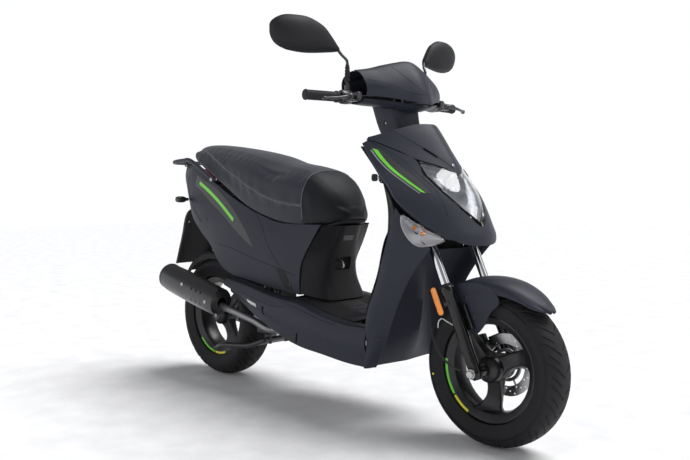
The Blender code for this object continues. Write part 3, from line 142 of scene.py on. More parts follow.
SATIN_PAINT = look("satin_black_paint", (0.018, 0.018, 0.020), 0.36, grain=700, bump=0.06, coat=0.2)
CAST_BLACK = look("black_casting", (0.020, 0.020, 0.022), 0.34, metal=0.3, grain=420, bump=0.15,
                  depth=0.0004)
CAST_GREY = look("grey_casting", (0.26, 0.26, 0.27), 0.42, metal=0.85, grain=420, bump=0.25,
                 depth=0.0005)
CHROME = look("chrome", (0.80, 0.81, 0.83), 0.07, metal=1.0, grain=60, bump=0.01, wear=0.03)
STEEL = look("machined_steel", (0.46, 0.46, 0.47), 0.30, metal=1.0, grain=900, bump=0.08)
ZINC = look("zinc_steel", (0.52, 0.52, 0.52), 0.34, metal=1.0, grain=500, bump=0.1)
SILVER = look("lamp_silver", (0.50, 0.51, 0.54), 0.34, metal=0.30, grain=80, bump=0.01, wear=0.04)
CLEAR = look("clear_lens", (0.97, 0.98, 1.0), 0.03, grain=200, bump=0.0, wear=0.01, clear=1.0)
AMBER = look("amber_bulb", (0.95, 0.30, 0.02), 0.12, grain=200, bump=0.0, coat=0.5)
RED = look("red_lens", (0.45, 0.010, 0.012), 0.10, grain=200, bump=0.02, coat=0.8)
ORANGE = look("orange_reflector", (0.92, 0.27, 0.01), 0.18, grain=700, bump=0.35, cells=True, coat=0.7)
GLASS_SILVER = look("mirror_glass", (0.80, 0.82, 0.84), 0.02, metal=1.0, grain=40, bump=0.0, wear=0.01)
GREEN = look("green_decal", (0.16, 0.62, 0.05), 0.35, grain=800, bump=0.05)
YELLOW = look("yellow_decal", (0.75, 0.68, 0.05), 0.35, grain=800, bump=0.05)
GREY_DECAL = look("grey_decal", (0.26, 0.26, 0.28), 0.40, grain=800, bump=0.05)
DARK_DECAL = look("dark_decal", (0.030, 0.030, 0.034), 0.38, grain=800, bump=0.05)
PALE_PLATE = look("pale_plate", (0.55, 0.55, 0.56), 0.40, grain=600, bump=0.05)


# ------------------------------------------------------------------ curves
def flow(points, steps):
    """A smooth line through points, with the given number of steps in each span."""
    spots = [Vector(p) for p in points]
    line = []
    for i in range(len(spots) - 1):
        a = spots[i - 1] if i > 0 else spots[0] * 2 - spots[1]
        b = spots[i]
        c = spots[i + 1]
        d = spots[i + 2] if i + 2 < len(spots) else c * 2 - b
        for k in range(steps):
            t = k / steps
            line.append(0.5 * (2 * b + (c - a) * t + (2 * a - 5 * b + 4 * c - d) * t * t
                               + (3 * b - a - 3 * c + d) * t ** 3))
    line.append(spots[-1])
    return line


def flow_ring(points, steps):
    """A smooth closed ring through points."""
    spots = [Vector(p) for p in points]
    line = flow([spots[-1]] + spots + [spots[0], spots[1]], steps)
    return line[steps:-steps - 1]


def smooth_stack(rings, steps):
    """Lines of equal point counts, with smooth lines added between them."""
    return [list(ring) for ring in zip(*[flow(line, steps) for line in zip(*rings)])]


def grid_flow(rows, down, across):
    """A grid of rows filled in smoothly both ways."""
    return smooth_stack([flow(row, across) for row in rows], down)


def mirrored(rows):
    """Rows that start at y = 0, completed to the other side."""
    return [[(p[0], -p[1], p[2]) for p in reversed(row[1:])] + [tuple(p) for p in row] for row in rows]


def read_off(table, value):
    """Smooth reading of a (key, value) table in rising key order."""
    if value <= table[0][0]:
        return table[0][1]
    if value >= table[-1][0]:
        return table[-1][1]
    i = 0
    while value > table[i + 1][0]:
        i += 1
    (x0, y0), (x1, y1) = table[i], table[i + 1]
    width = x1 - x0
    slope0 = (y1 - table[i - 1][1]) / (x1 - table[i - 1][0]) if i > 0 else (y1 - y0) / width
    slope1 = (table[i + 2][1] - y0) / (table[i + 2][0] - x0) if i + 2 < len(table) else (y1
            - y0) / width
    t = (value - x0) / width
    return (y0 * (2 * t ** 3 - 3 * t * t + 1) + slope0 * width * (t ** 3 - 2 * t * t + t)
            + y1 * (3 * t * t - 2 * t ** 3) + slope1 * width * (t ** 3 - t * t))


def on_steering(height, forward=0.0, side=0.0):
    """A point by its height up the steering axis and its distances ahead of it and beside it."""
    return STEER_BASE + STEER_UP * height + STEER_OUT * forward + Vector((0.0, side, 0.0))


def on_leg(height, side, forward=0.0):
    """A point beside a fork leg, measured from the front axle up along the leg."""
    return FRONT_AXLE + STEER_UP * height + STEER_OUT * forward + Vector((0.0, side, 0.0))


def on_bar(distance, side):
    """A point on the handlebar, measured inward from its end."""
    point = BAR_END - BAR_OUT * distance
    return Vector((point.x, side * point.y, point.z))


def wheel_ray(angle):
    """A unit direction in a wheel's plane; the angle rises from straight ahead."""
    return Vector((math.cos(angle), 0.0, math.sin(angle)))


def flip(point, side):
    """A point given for the left side, on the side asked for."""
    return Vector((point[0], side * point[1], point[2]))


# ------------------------------------------------------------------ shapes, each a (points, faces) pair
def basis(axis):
    """Two unit directions square to an axis, and the axis itself."""
    axis = Vector(axis).normalized()
    guide = Vector((0.0, 0.0, 1.0)) if abs(axis.z) < 0.9 else Vector((1.0, 0.0, 0.0))
    across = axis.cross(guide).normalized()
    return across, axis.cross(across).normalized(), axis


def rings_to_shape(rings, closed_stack=False, caps=True):
    """A skin over rings of equal point counts, closed by end faces or back on its first ring."""
    points = [tuple(p) for ring in rings for p in ring]
    count = len(rings[0])
    faces = []
    stack = len(rings)
    for i in range(stack if closed_stack else stack - 1):
        low = i * count
        high = ((i + 1) % stack) * count
        for k in range(count):
            m = (k + 1) % count
            faces.append((low + k, low + m, high + m, high + k))
    if caps and not closed_stack:
        faces.append(tuple(range(count))[::-1])
        faces.append(tuple((stack - 1) * count + k for k in range(count)))
    return points, faces


def turn(profile, base, axis, steps=48):
    """A (radius, height) profile turned about an axis; ends on the axis or closes on itself."""
    u, v, w = basis(axis)
    base = Vector(base)
    solid = profile[0][0] < 1e-6 and profile[-1][0] < 1e-6
    body = profile[1:-1] if solid else profile
    rings = []
    for radius, height in body:
        ring = []
        for k in range(steps):
            angle = 2 * math.pi * k / steps
            ring.append(base + w * height + (u * math.cos(angle) + v * math.sin(angle)) * radius)
        rings.append(ring)
    if not solid:
        return rings_to_shape(rings, closed_stack=True)
    points, faces = rings_to_shape(rings, caps=False)
    for tip, ring_start in ((profile[0][1], 0), (profile[-1][1], (len(rings) - 1) * steps)):
        points.append(tuple(base + w * tip))
        centre = len(points) - 1
        for k in range(steps):
            faces.append((ring_start + k, ring_start + (k + 1) % steps, centre))
    return points, faces


def rod(start, end, radius, end_radius=None, edge=0.0008, steps=28):
    """A round bar between two points, straight or tapered, with its end edges eased."""
    start = Vector(start)
    end = Vector(end)
    length = (end - start).length
    far = radius if end_radius is None else end_radius
    edge = min(edge, radius * 0.4, far * 0.4, length * 0.3)
    return turn([(0.0, 0.0), (radius - edge, 0.0), (radius, edge), (far, length - edge),
                 (far - edge, length), (0.0, length)], start, end - start, steps)


def bolt(point, axis, radius=0.005, height=0.004):
    """A domed socket screw head standing on a surface."""
    r = radius
    return turn([(0.0, -0.004), (r * 0.7, -0.004), (r * 0.7, -0.0004), (r * 1.15, 0.0),
                 (r * 1.15, height * 0.3), (r, height * 0.4), (r * 0.9, height * 0.85),
                 (r * 0.5, height), (r * 0.42, height * 0.45), (0.0, height * 0.4)], point, axis, 24)


def block(centre, size, edge=0.002, axis_z=(0.0, 0.0, 1.0), taper=1.0, rounds=3):
    """A box with rounded edges; axis_z leans it in the XZ plane."""
    bm = bmesh.new()
    bmesh.ops.create_cube(bm, size=1.0)
    for vert in bm.verts:
        factor = taper if vert.co.z > 0 else 1.0
        vert.co = Vector((vert.co.x * size[0] * factor, vert.co.y * size[1] * factor,
                          vert.co.z * size[2]))
    bmesh.ops.bevel(bm, geom=list(bm.edges), offset=edge, segments=rounds, profile=0.5, affect="EDGES")
    lean = Matrix.Rotation(math.atan2(axis_z[0], axis_z[2]), 3, "Y")
    points = [tuple(lean @ vert.co + Vector(centre)) for vert in bm.verts]
    bm.verts.index_update()
    faces = [tuple(vert.index for vert in face.verts) for face in bm.faces]
    bm.free()
    return points, faces


def tube(points, radius, smooth=6, sides=16, rounded=True):
    """A swept round bar; radius may be one value or one for each control point."""
    line = flow(points, smooth) if smooth > 1 else [Vector(p) for p in points]
    if isinstance(radius, (int, float)):
        sizes = [radius] * len(line)
    else:
        sizes = [v.x for v in flow([(r, 0, 0) for r in radius], smooth)]
    ahead = (line[1] - line[0]).normalized()
    u = basis(ahead)[0]
    rings = []
    for i, point in enumerate(line):
        ahead = (line[min(i + 1, len(line) - 1)] - line[max(i - 1, 0)]).normalized()
        u = (u - ahead * u.dot(ahead)).normalized()
        v = ahead.cross(u)
        size = sizes[i]
        circle = [(u * math.cos(2 * math.pi * k / sides) + v * math.sin(2 * math.pi * k / sides))
                  for k in range(sides)]
        if rounded and i == 0:
            rings.append([point - ahead * size * 0.45 + c * size * 0.45 for c in circle])
            rings.append([point - ahead * size * 0.25 + c * size * 0.85 for c in circle])
        rings.append([point + c * size for c in circle])
        if rounded and i == len(line) - 1:
            rings.append([point + ahead * size * 0.25 + c * size * 0.85 for c in circle])
            rings.append([point + ahead * size * 0.45 + c * size * 0.45 for c in circle])
    return rings_to_shape(rings)


def sheet(grid, thickness, outward=(1.0, 0.0, 0.0), trim=0.0008, wrap=False):
    """A grid of points as a moulded wall behind its outward side, trimmed at its borders."""
    g = [[Vector(p) for p in row] for row in grid]
    rows = len(g)
    cols = len(g[0])
    if trim > 0.0:
        for row in g:
            if not wrap:
                row[0] = row[0].lerp(row[1], min(0.6, trim / max((row[1] - row[0]).length, 1e-6)))
                row[-1] = row[-1].lerp(row[-2], min(0.6, trim / max((row[-2] - row[-1]).length, 1e-6)))
        for k in range(cols):
            g[0][k] = g[0][k].lerp(g[1][k], min(0.6, trim / max((g[1][k] - g[0][k]).length, 1e-6)))
            g[-1][k] = g[-1][k].lerp(g[-2][k], min(0.6, trim / max((g[-2][k] - g[-1][k]).length, 1e-6)))
    normals = []
    total = 0.0
    for i in range(rows):
        line = []
        for k in range(cols):
            down = g[min(i + 1, rows - 1)][k] - g[max(i - 1, 0)][k]
            if wrap:
                across = g[i][(k + 1) % cols] - g[i][k - 1]
            else:
                across = g[i][min(k + 1, cols - 1)] - g[i][max(k - 1, 0)]
            normal = down.cross(across)
            if normal.length < 1e-12:
                normal = Vector(line[-1]) if line else Vector(outward)
            total += normal.dot(Vector(outward))
            line.append(normal.normalized())
        normals.append(line)
    sign = 1.0 if total >= 0.0 else -1.0
    outer = [tuple(p) for row in g for p in row]
    inner = [tuple(p - n * sign * thickness) for row, line in zip(g, normals) for p,
             n in zip(row, line)]
    base = rows * cols
    faces = []
    spans = cols if wrap else cols - 1
    for i in range(rows - 1):
        for k in range(spans):
            m = (k + 1) % cols
            quad = (i * cols + k, i * cols + m, (i + 1) * cols + m, (i + 1) * cols + k)
            faces.append(quad)
            faces.append(tuple(base + q for q in reversed(quad)))
    for k in range(spans):
        m = (k + 1) % cols
        faces.append((k, m, base + m, base + k))
        low = (rows - 1) * cols
        faces.append((low + m, low + k, base + low + k, base + low + m))
    if not wrap:
        for i in range(rows - 1):
            a, b = i * cols, (i + 1) * cols
            faces.append((b, a, base + a, base + b))
            a, b = i * cols + cols - 1, (i + 1) * cols + cols - 1
            faces.append((a, b, base + b, base + a))
    return outer + inner, faces


def temporary(shape, name="tool"):
    """A plain object made of a shape, for a step that needs one."""
    mesh = bpy.data.meshes.new(name)
    mesh.from_pydata(shape[0], [], shape[1])
    bm = bmesh.new()
    bm.from_mesh(mesh)
    bmesh.ops.recalc_face_normals(bm, faces=bm.faces)
    bm.to_mesh(mesh)
    bm.free()
    thing = bpy.data.objects.new(name, mesh)
    SCENE.collection.objects.link(thing)
    return thing


def extent(points):
    """The size of a cloud of points along each axis."""
    return [max(p[i] for p in points) - min(p[i] for p in points) for i in range(3)]


def carved(shape, *cutters):
    """The shape with each cutter taken out of it. A cut that loses part of the shape is an error."""
    target = temporary(shape, "blank")
    tools = [temporary(cutter) for cutter in cutters]
    for tool in tools:
        step = target.modifiers.new("cut", "BOOLEAN")
        step.operation = "DIFFERENCE"
        step.solver = "EXACT"
        step.object = tool
    bpy.context.view_layer.update()
    result = target.evaluated_get(bpy.context.evaluated_depsgraph_get()).to_mesh()
    points = [tuple(vert.co) for vert in result.vertices]
    faces = [tuple(face.vertices) for face in result.polygons]
    for thing in [target] + tools:
        bpy.data.objects.remove(thing, do_unlink=True)
    if not points:
        raise RuntimeError("a cut removed the whole shape")
    for before, after in zip(extent(shape[0]), extent(points)):
        if before - after > CUT_LOSS:
            raise RuntimeError("a cut lost part of the shape: %.3f m" % (before - after))
    return points, faces


def tree_of(shape):
    """A search tree of a shape, to lay other things on it."""
    return BVHTree.FromPolygons([Vector(p) for p in shape[0]], shape[1])


def drape(tree, origin, direction, lift=0.0):
    """Where a line from outside meets a surface, lifted a little off it."""
    spot, normal, _, _ = tree.ray_cast(Vector(origin), Vector(direction))
    if spot is None:
        return None
    if normal.dot(Vector(direction)) > 0:
        normal = -normal
    return spot + normal * lift


def hits(points):
    """The points of a laid line that did meet the surface."""
    return [p for p in points if p is not None]


def from_side(tree, side, x, z, lift=0.0):
    """The surface point met from one side at x and z."""
    return drape(tree, (x, side * 0.45, z), (0.0, -side, 0.0), lift)


def from_front(tree, y, z, lift=0.0):
    """The surface point met from ahead at y and z."""
    return drape(tree, (1.1, y, z), (-1.0, 0.0, 0.0), lift)


def from_above(tree, x, y, lift=0.0):
    """The surface point met from above at x and y."""
    return drape(tree, (x, y, 1.4), (0.0, 0.0, -1.0), lift)


def film(cast, low_edge, high_edge, steps=5, rise=0.0004):
    """A thin film laid on a surface between two edge lines given as pairs of numbers."""
    low = flow([(a, b, 0) for a, b in low_edge], steps)
    high = flow([(a, b, 0) for a, b in high_edge], steps)
    rows = []
    for start, end in zip(low, high):
        row = [cast(start.x + (end.x - start.x) * k / 4, start.y + (end.y - start.y) * k / 4, rise)
               for k in range(5)]
        if all(p is not None for p in row):
            rows.append(row)
    way = rows[0][0] - cast(low[0].x, low[0].y, 0.0)
    return sheet(rows, rise + 0.0002, way, trim=0.0)


def seam_cutter(cast, path, radius=0.0011, steps=6):
    """A thin bar lying on a surface, to cut a groove along a path."""
    line = [cast(p.x, p.y, 0.0) for p in flow([(a, b, 0) for a, b in path], steps)]
    return tube(hits(line), radius, smooth=1, sides=8)


# ------------------------------------------------------------------ pieces
class Piece:
    """One visible piece, gathered from closed shapes that each keep their own finish."""

    def __init__(self, name, body, slot, *nodes):
        self.name = name
        self.body = body
        self.slot = slot
        self.nodes = nodes
        self.points = []
        self.faces = []
        self.looks = []
        self.marks = []

    def add(self, shape, finish):
        base = len(self.points)
        self.points += shape[0]
        self.faces += [tuple(base + i for i in face) for face in shape[1]]
        if finish not in self.looks:
            self.looks.append(finish)
        self.marks += [self.looks.index(finish)] * len(shape[1])
        return self

    def done(self, bevel=0.0006, angle=38.0, segments=2):
        mesh = bpy.data.meshes.new(self.name)
        mesh.from_pydata([(p[0] + ORIGIN_SHIFT, p[1], p[2]) for p in self.points], [], self.faces)
        for finish in self.looks:
            mesh.materials.append(finish)
        mesh.polygons.foreach_set("material_index", self.marks)
        bm = bmesh.new()
        bm.from_mesh(mesh)
        bmesh.ops.recalc_face_normals(bm, faces=bm.faces)
        bm.to_mesh(mesh)
        bm.free()
        mesh.shade_smooth()
        mesh.set_sharp_from_angle(angle=math.radians(angle))
        thing = bpy.data.objects.new(self.name, mesh)
        SCENE.collection.objects.link(thing)
        if bevel > 0.0:
            soft = thing.modifiers.new("soft_edges", "BEVEL")
            soft.width = bevel
            soft.segments = segments
            soft.limit_method = "ANGLE"
            soft.angle_limit = math.radians(angle)
            soft.use_clamp_overlap = True
        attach(thing, self.body)
        if self.nodes:
            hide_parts(*self.nodes)
        return thing


# ------------------------------------------------------------------ wheels
TREAD_PITCHES = 24
TREAD_DEPTH = 0.0028


def tyre(name, body, centre, radius, half):
    """Carcass with swept tread grooves; the mesh lines follow the grooves, so their walls are crisp."""
    bead = RIM_RADIUS - 0.004
    side = [(bead, half * 0.83), (RIM_RADIUS + 0.006, half * 0.90), (radius * 0.80, half * 0.99),
            (radius * 0.86, half * 0.99), (radius * 0.925, half * 0.86), (radius * 0.972, half * 0.62),
            (radius * 0.995, half * 0.32), (radius * 1.0, 0.0)]
    edge = side + [(r, -y) for r, y in side[:-1]][::-1]
    outer = flow([(r, y, 0) for r, y in edge], 5)
    wall = 0.008
    inner = [(bead, -half * 0.83 + wall), (radius * 0.85, -half + wall * 1.5),
             (radius - wall, -half * 0.5), (radius - wall, half * 0.5),
             (radius * 0.85, half - wall * 1.5), (bead, half * 0.83 - wall)]
    marks = ((0.0, 0, 0), (0.030, 0, 0), (0.055, 1, 0), (0.175, 1, 0), (0.200, 0, 0), (0.33, 0, 0),
             (0.50, 0, 0), (0.52, 0, 1), (0.60, 0, 1), (0.62, 0, 0), (0.80, 0, 0))
    rings = []
    for pitch in range(TREAD_PITCHES):
        for offset, long_groove, short_groove in marks:
            ring = []
            for spot in outer:
                across = abs(spot.y) / half
                sweep = 0.26 * across ** 1.4
                cut = 0.0
                if long_groove and 0.07 < across < 0.93 and spot.x > radius * 0.88:
                    cut = TREAD_DEPTH
                if short_groove and 0.34 < across < 0.80:
                    cut = TREAD_DEPTH
                angle = 2 * math.pi * (pitch + offset) / TREAD_PITCHES + sweep + (0.5
                        if spot.y > 0 else 0.0) * 0.13
                r = spot.x - cut
                ring.append(centre + Vector((math.cos(angle) * r, spot.y, math.sin(angle) * r)))
            base_angle = 2 * math.pi * (pitch + offset) / TREAD_PITCHES
            for r, y in inner:
                ring.append(centre + Vector((math.cos(base_angle) * r, y, math.sin(base_angle) * r)))
            rings.append(ring)
    piece = Piece(name, body, "tyre_rubber", name)
    piece.add(rings_to_shape(rings, closed_stack=True), TYRE_RUBBER)
    for band in (0.195, 0.205):
        for side_sign in (-1, 1):
            piece.add(turn([(band - 0.0012, half * 0.90), (band, half * 0.995 + 0.0006),
                            (band + 0.0012, half * 0.90)], centre, (0, side_sign, 0), 96), TYRE_RUBBER)
    return piece


def rounded_ring(width, depth, corner, turns=3):
    """Points of a rounded rectangle about the origin."""
    ring = []
    for sx, sy, start in ((1, 1, 0), (-1, 1, 90), (-1, -1, 180), (1, -1, 270)):
        for k in range(turns + 1):
            angle = math.radians(start + 90 * k / turns)
            ring.append((sx * (width / 2 - corner) + corner * math.cos(angle),
                         sy * (depth / 2 - corner) + corner * math.sin(angle)))
    return ring


def spoke(centre, angle, reach, twist, lean):
    """One broad, twisted, hollow-backed spoke from hub to rim."""
    out = wheel_ray(angle)
    across = Vector((-math.sin(angle), 0, math.cos(angle)))
    rings = []
    for share, width, depth, drift in ((0.0, 0.060, 0.044, 0.0), (0.25, 0.046, 0.034, 0.004),
                                       (0.6, 0.050, 0.026, 0.008), (0.85, 0.066, 0.026, 0.004),
                                       (1.0, 0.096, 0.034, 0.0)):
        middle = centre + out * (0.028 + (reach - 0.028) * share) + across * lean * share * (1
                - share) * 4
        roll = twist * share
        u = across * math.cos(roll) + Vector((0, 1, 0)) * math.sin(roll)
        v = Vector((0, 1, 0)) * math.cos(roll) - across * math.sin(roll)
        rings.append([middle + u * a + v * (b + drift) for a, b in rounded_ring(width, depth, 0.008)])
    return rings_to_shape(smooth_stack(rings, 6))


def rim(name, body, centre, half, hub_half, start, stripes):
    """Cast wheel: rolled lips, deep well, hub and three spokes."""
    seat = RIM_RADIUS - 0.0048
    lip = half * 0.83 - 0.0095
    side = [(seat - 0.0115, lip + 0.0005), (seat - 0.006, lip + 0.0035), (seat - 0.001, lip + 0.002),
            (seat, lip - 0.002), (seat - 0.001, lip - 0.008), (seat - 0.016, lip - 0.014)]
    well = [(seat - 0.020, lip - 0.020), (seat - 0.020, -lip + 0.020)]
    back = [(r, -y) for r, y in side[::-1]]
    under = [(seat - 0.027, -lip + 0.010), (seat - 0.031, -lip + 0.024), (seat - 0.031, lip - 0.024),
             (seat - 0.027, lip - 0.010)]
    piece = Piece(name, body, "black_aluminium", name)
    piece.add(turn(side + well + back + under, centre, (0, 1, 0), 96), CAST_BLACK)
    h = hub_half
    piece.add(turn([(0.0088, -h), (0.020, -h), (0.022, -h + 0.003), (0.030, -h + 0.006),
                    (0.038, -h + 0.014), (0.040, -h + 0.030), (0.040, h - 0.030), (0.038, h - 0.014),
                    (0.030, h - 0.006), (0.022, h - 0.003), (0.020, h), (0.0088, h)], centre, (0, 1, 0),
                   48), CAST_BLACK)
    for k in range(3):
        piece.add(spoke(centre, math.radians(start + 120 * k), seat - 0.028, 0.5, 0.010), CAST_BLACK)
    for first, last, finish in stripes:
        count = max(4, int((last - first) / 4))
        rows = []
        for step in range(count + 1):
            angle = math.radians(first + (last - first) * step / count)
            ray = wheel_ray(angle)
            rows.append([centre + ray * (seat - 0.0105) - Vector((0, lip + 0.0016, 0)),
                         centre + ray * (seat - 0.006) - Vector((0, lip + 0.0040, 0)),
                         centre + ray * (seat - 0.0015) - Vector((0, lip + 0.0026, 0))])
        piece.add(sheet(grid_flow(rows, 1, 3), 0.0006, (0, -1, 0), trim=0.0), finish)
    return piece


def tyres_and_rims():
    """Both tyres and both rims, with the coloured arcs on the rims."""
    tyre("front_tyre", "front_wheel", FRONT_AXLE, *FRONT_TYRE).add(
        turn([(0.0, 0.0), (0.0035, 0.0), (0.0035, 0.0008), (0.0, 0.001)],
             FRONT_AXLE + Vector((-0.193, -0.0581, -0.041)), (0, -1, 0), 20), YELLOW).done(0.0)
    tyre("rear_tyre", "rear_wheel", REAR_AXLE, *REAR_TYRE).done(0.0)
    rim("front_rim", "front_wheel", FRONT_AXLE, FRONT_TYRE[1], 0.058, 20.0,
        ((176, 217, GREEN), (219, 243, YELLOW))).done()
    rim("rear_rim", "rear_wheel", REAR_AXLE, REAR_TYRE[1], 0.052, 45.0,
        ((224, 262, GREEN), (264, 290, YELLOW))).done()


def brake_disc():
    """Drilled disc on a bolted carrier."""
    disc_at = FRONT_AXLE + Vector((0, 0.0555, 0))
    disc = turn([(0.064, 0.002), (0.095, 0.002), (0.095, -0.002), (0.064, -0.002)], disc_at, (0, 1, 0),
                96)
    holes = []
    for k in range(36):
        angle = 2 * math.pi * k / 36
        radius = (0.071, 0.0795, 0.088)[k % 3]
        middle = disc_at + Vector((math.cos(angle) * radius, 0, math.sin(angle) * radius))
        holes.append(rod(middle - Vector((0, 0.01, 0)), middle + Vector((0, 0.01, 0)), 0.0027, edge=0.0,
                         steps=12))
    piece = Piece("brake_disc", "front_wheel", "bright_steel", "brake_disc")
    piece.add(carved(disc, *holes), STEEL)
    carrier = turn([(0.0398, 0.0035), (0.050, 0.0035), (0.050, -0.0035), (0.0398, -0.0035)], disc_at,
                   (0, 1, 0), 64)
    piece.add(carrier, CAST_GREY)
    for k in range(6):
        angle = 2 * math.pi * k / 6
        ray = wheel_ray(angle)
        piece.add(tube([disc_at + ray * 0.047, disc_at + ray * 0.067], 0.0030, smooth=1, sides=12),
                  CAST_GREY)
        piece.add(bolt(disc_at + ray * 0.045 + Vector((0, 0.0035, 0)), (0, 1, 0), 0.0035, 0.003), ZINC)
    piece.done(0.0003)


# ------------------------------------------------------------------ fork, mudguard, brake
def fork_sliders():
    """Lower fork legs; the right one carries the side reflector."""
    for side, label in SIDES:
        start = Vector((FRONT_AXLE.x, side * FORK_HALF, FRONT_AXLE.z))
        top = 0.265
        leg = Piece("fork_slider_" + label, "fork_lower", "black_steel", "fork_lower_" + label)
        leg.add(turn([(0.0, 0.030), (0.0140, 0.030), (0.0140, top), (0.0190, top),
                      (0.0213, top - 0.003), (0.0217, top - 0.010), (0.0212, top - 0.021),
                      (0.0188, top - 0.028), (0.0185, 0.060), (0.0192, 0.035), (0.0200, 0.0),
                      (0.0180, -0.014), (0.0110, -0.021), (0.0, -0.021)], start, STEER_UP, 48),
                GLOSS_PAINT)
        leg.add(rod(start - Vector((0, side * 0.034, 0)), start + Vector((0, side * 0.024, 0)), 0.0170,
                    0.0165, 0.002), GLOSS_PAINT)
        leg.add(block(on_leg(0.160, side * 0.0802, 0.012), (0.040, 0.0096, 0.075), 0.002, STEER_UP),
                GLOSS_PAINT)
        seal = start + STEER_UP * (top - 0.002)
        leg.add(turn([(0.0139, 0.0), (0.0200, 0.0), (0.0205, 0.003), (0.0170, 0.008), (0.0150, 0.010),
                      (0.0139, 0.010)], seal, STEER_UP, 40), GRIP_RUBBER)
        if label == "right":
            middle = on_leg(0.232, side * (FORK_HALF + 0.022), -0.030)
            capsule = [Vector(middle) + STEER_OUT * a + STEER_UP * b for a,
                       b in rounded_ring(0.025, 0.090, 0.0120, 6)]
            leg.add(rings_to_shape([[p + Vector((0, side * y, 0)) for p in capsule]
                                    for y in (-0.004, 0.0, 0.0035)]), PLASTIC_DARK)
            inner = [Vector(middle) + STEER_OUT * a + STEER_UP * b for a,
                     b in rounded_ring(0.021, 0.086, 0.0100, 6)]
            small = [Vector(middle) + STEER_OUT * a + STEER_UP * b for a,
                     b in rounded_ring(0.018, 0.082, 0.0085, 6)]
            leg.add(rings_to_shape([[p + Vector((0, side * 0.002, 0)) for p in inner],
                                    [p + Vector((0, side * 0.0046, 0)) for p in inner],
                                    [p + Vector((0, side * 0.0056, 0)) for p in small]]), ORANGE)
            leg.add(block(on_leg(0.215, side * (FORK_HALF + 0.018), -0.010), (0.034, 0.006, 0.012),
                          0.0015, STEER_UP), GLOSS_PAINT)
            leg.add(tube([on_leg(0.150, side * 0.112, -0.012), on_leg(0.166, side * 0.121, -0.022),
                          on_leg(0.180, side * 0.122, -0.036), on_leg(0.176, side * 0.124, -0.050),
                          on_leg(0.160, side * 0.124, -0.060)], 0.0022, 6, 10), ZINC)
        else:
            leg.add(block(on_leg(0.075, side * 0.0802, -0.0253), (0.0468, 0.0096, 0.050), 0.003,
                          STEER_UP), GLOSS_PAINT)
            for height in (0.060, 0.092):
                leg.add(bolt(on_leg(height, side * 0.0852, -0.040), (0, side, 0), 0.0045), ZINC)
        leg.done()


def front_axle():
    """Axle with its nuts and washers."""
    axle = Piece("front_axle", "fork_lower", "bright_steel", "front_axle")
    axle.add(rod(FRONT_AXLE + Vector((0, -0.1245, 0)), FRONT_AXLE + Vector((0, 0.1245, 0)), 0.0075),
             STEEL)
    for side in (-1, 1):
        face = FRONT_AXLE + Vector((0, side * 0.1245, 0))
        hexagon = turn([(0.0, 0.0), (0.0120, 0.0), (0.0125, 0.0015), (0.0125, 0.007), (0.0105, 0.009),
                        (0.0, 0.009)], face, (0, side, 0), 6)
        axle.add(hexagon, ZINC)
        axle.add(rod(face - Vector((0, side * 0.0002, 0)), face + Vector((0, side * 0.0018, 0)),
                     0.0145), ZINC)
        axle.add(rod(face, face + Vector((0, side * (0.0095 if side < 0 else 0.0035), 0)), 0.0065),
                 ZINC)
    axle.done(0.0004)


def fork_upper():
    """Steering stem, yoke and stanchions."""
    upper = Piece("fork_upper", "steering", "black_steel", "fork_upper")
    upper.add(rod(on_steering(0.410), on_steering(0.862), 0.0127), SATIN_PAINT)
    upper.add(block(on_steering(0.430, 0.012), (0.060, 0.236, 0.024), 0.006, STEER_UP), SATIN_PAINT)
    for side in (-1, 1):
        base = Vector((FRONT_AXLE.x, side * FORK_HALF, FRONT_AXLE.z))
        upper.add(rod(base + STEER_UP * 0.105, base + STEER_UP * 0.445, 0.0135, steps=48), CHROME)
        upper.add(turn([(0.0, 0.0), (0.0190, 0.0), (0.0205, 0.002), (0.0205, 0.020), (0.0160, 0.026),
                        (0.0, 0.026)], base + STEER_UP * 0.421, STEER_UP, 32), SATIN_PAINT)
    upper.done()


GUARD_RADIUS = 0.260
GUARD_RISE = 0.014
GUARD_STATIONS = ((42, 0.008, 0.003), (44, 0.028, 0.012), (50, 0.050, 0.024), (60, 0.063, 0.031),
                  (74, 0.071, 0.040), (90, 0.074, 0.052), (106, 0.074, 0.066), (122, 0.072, 0.060),
                  (138, 0.066, 0.040))


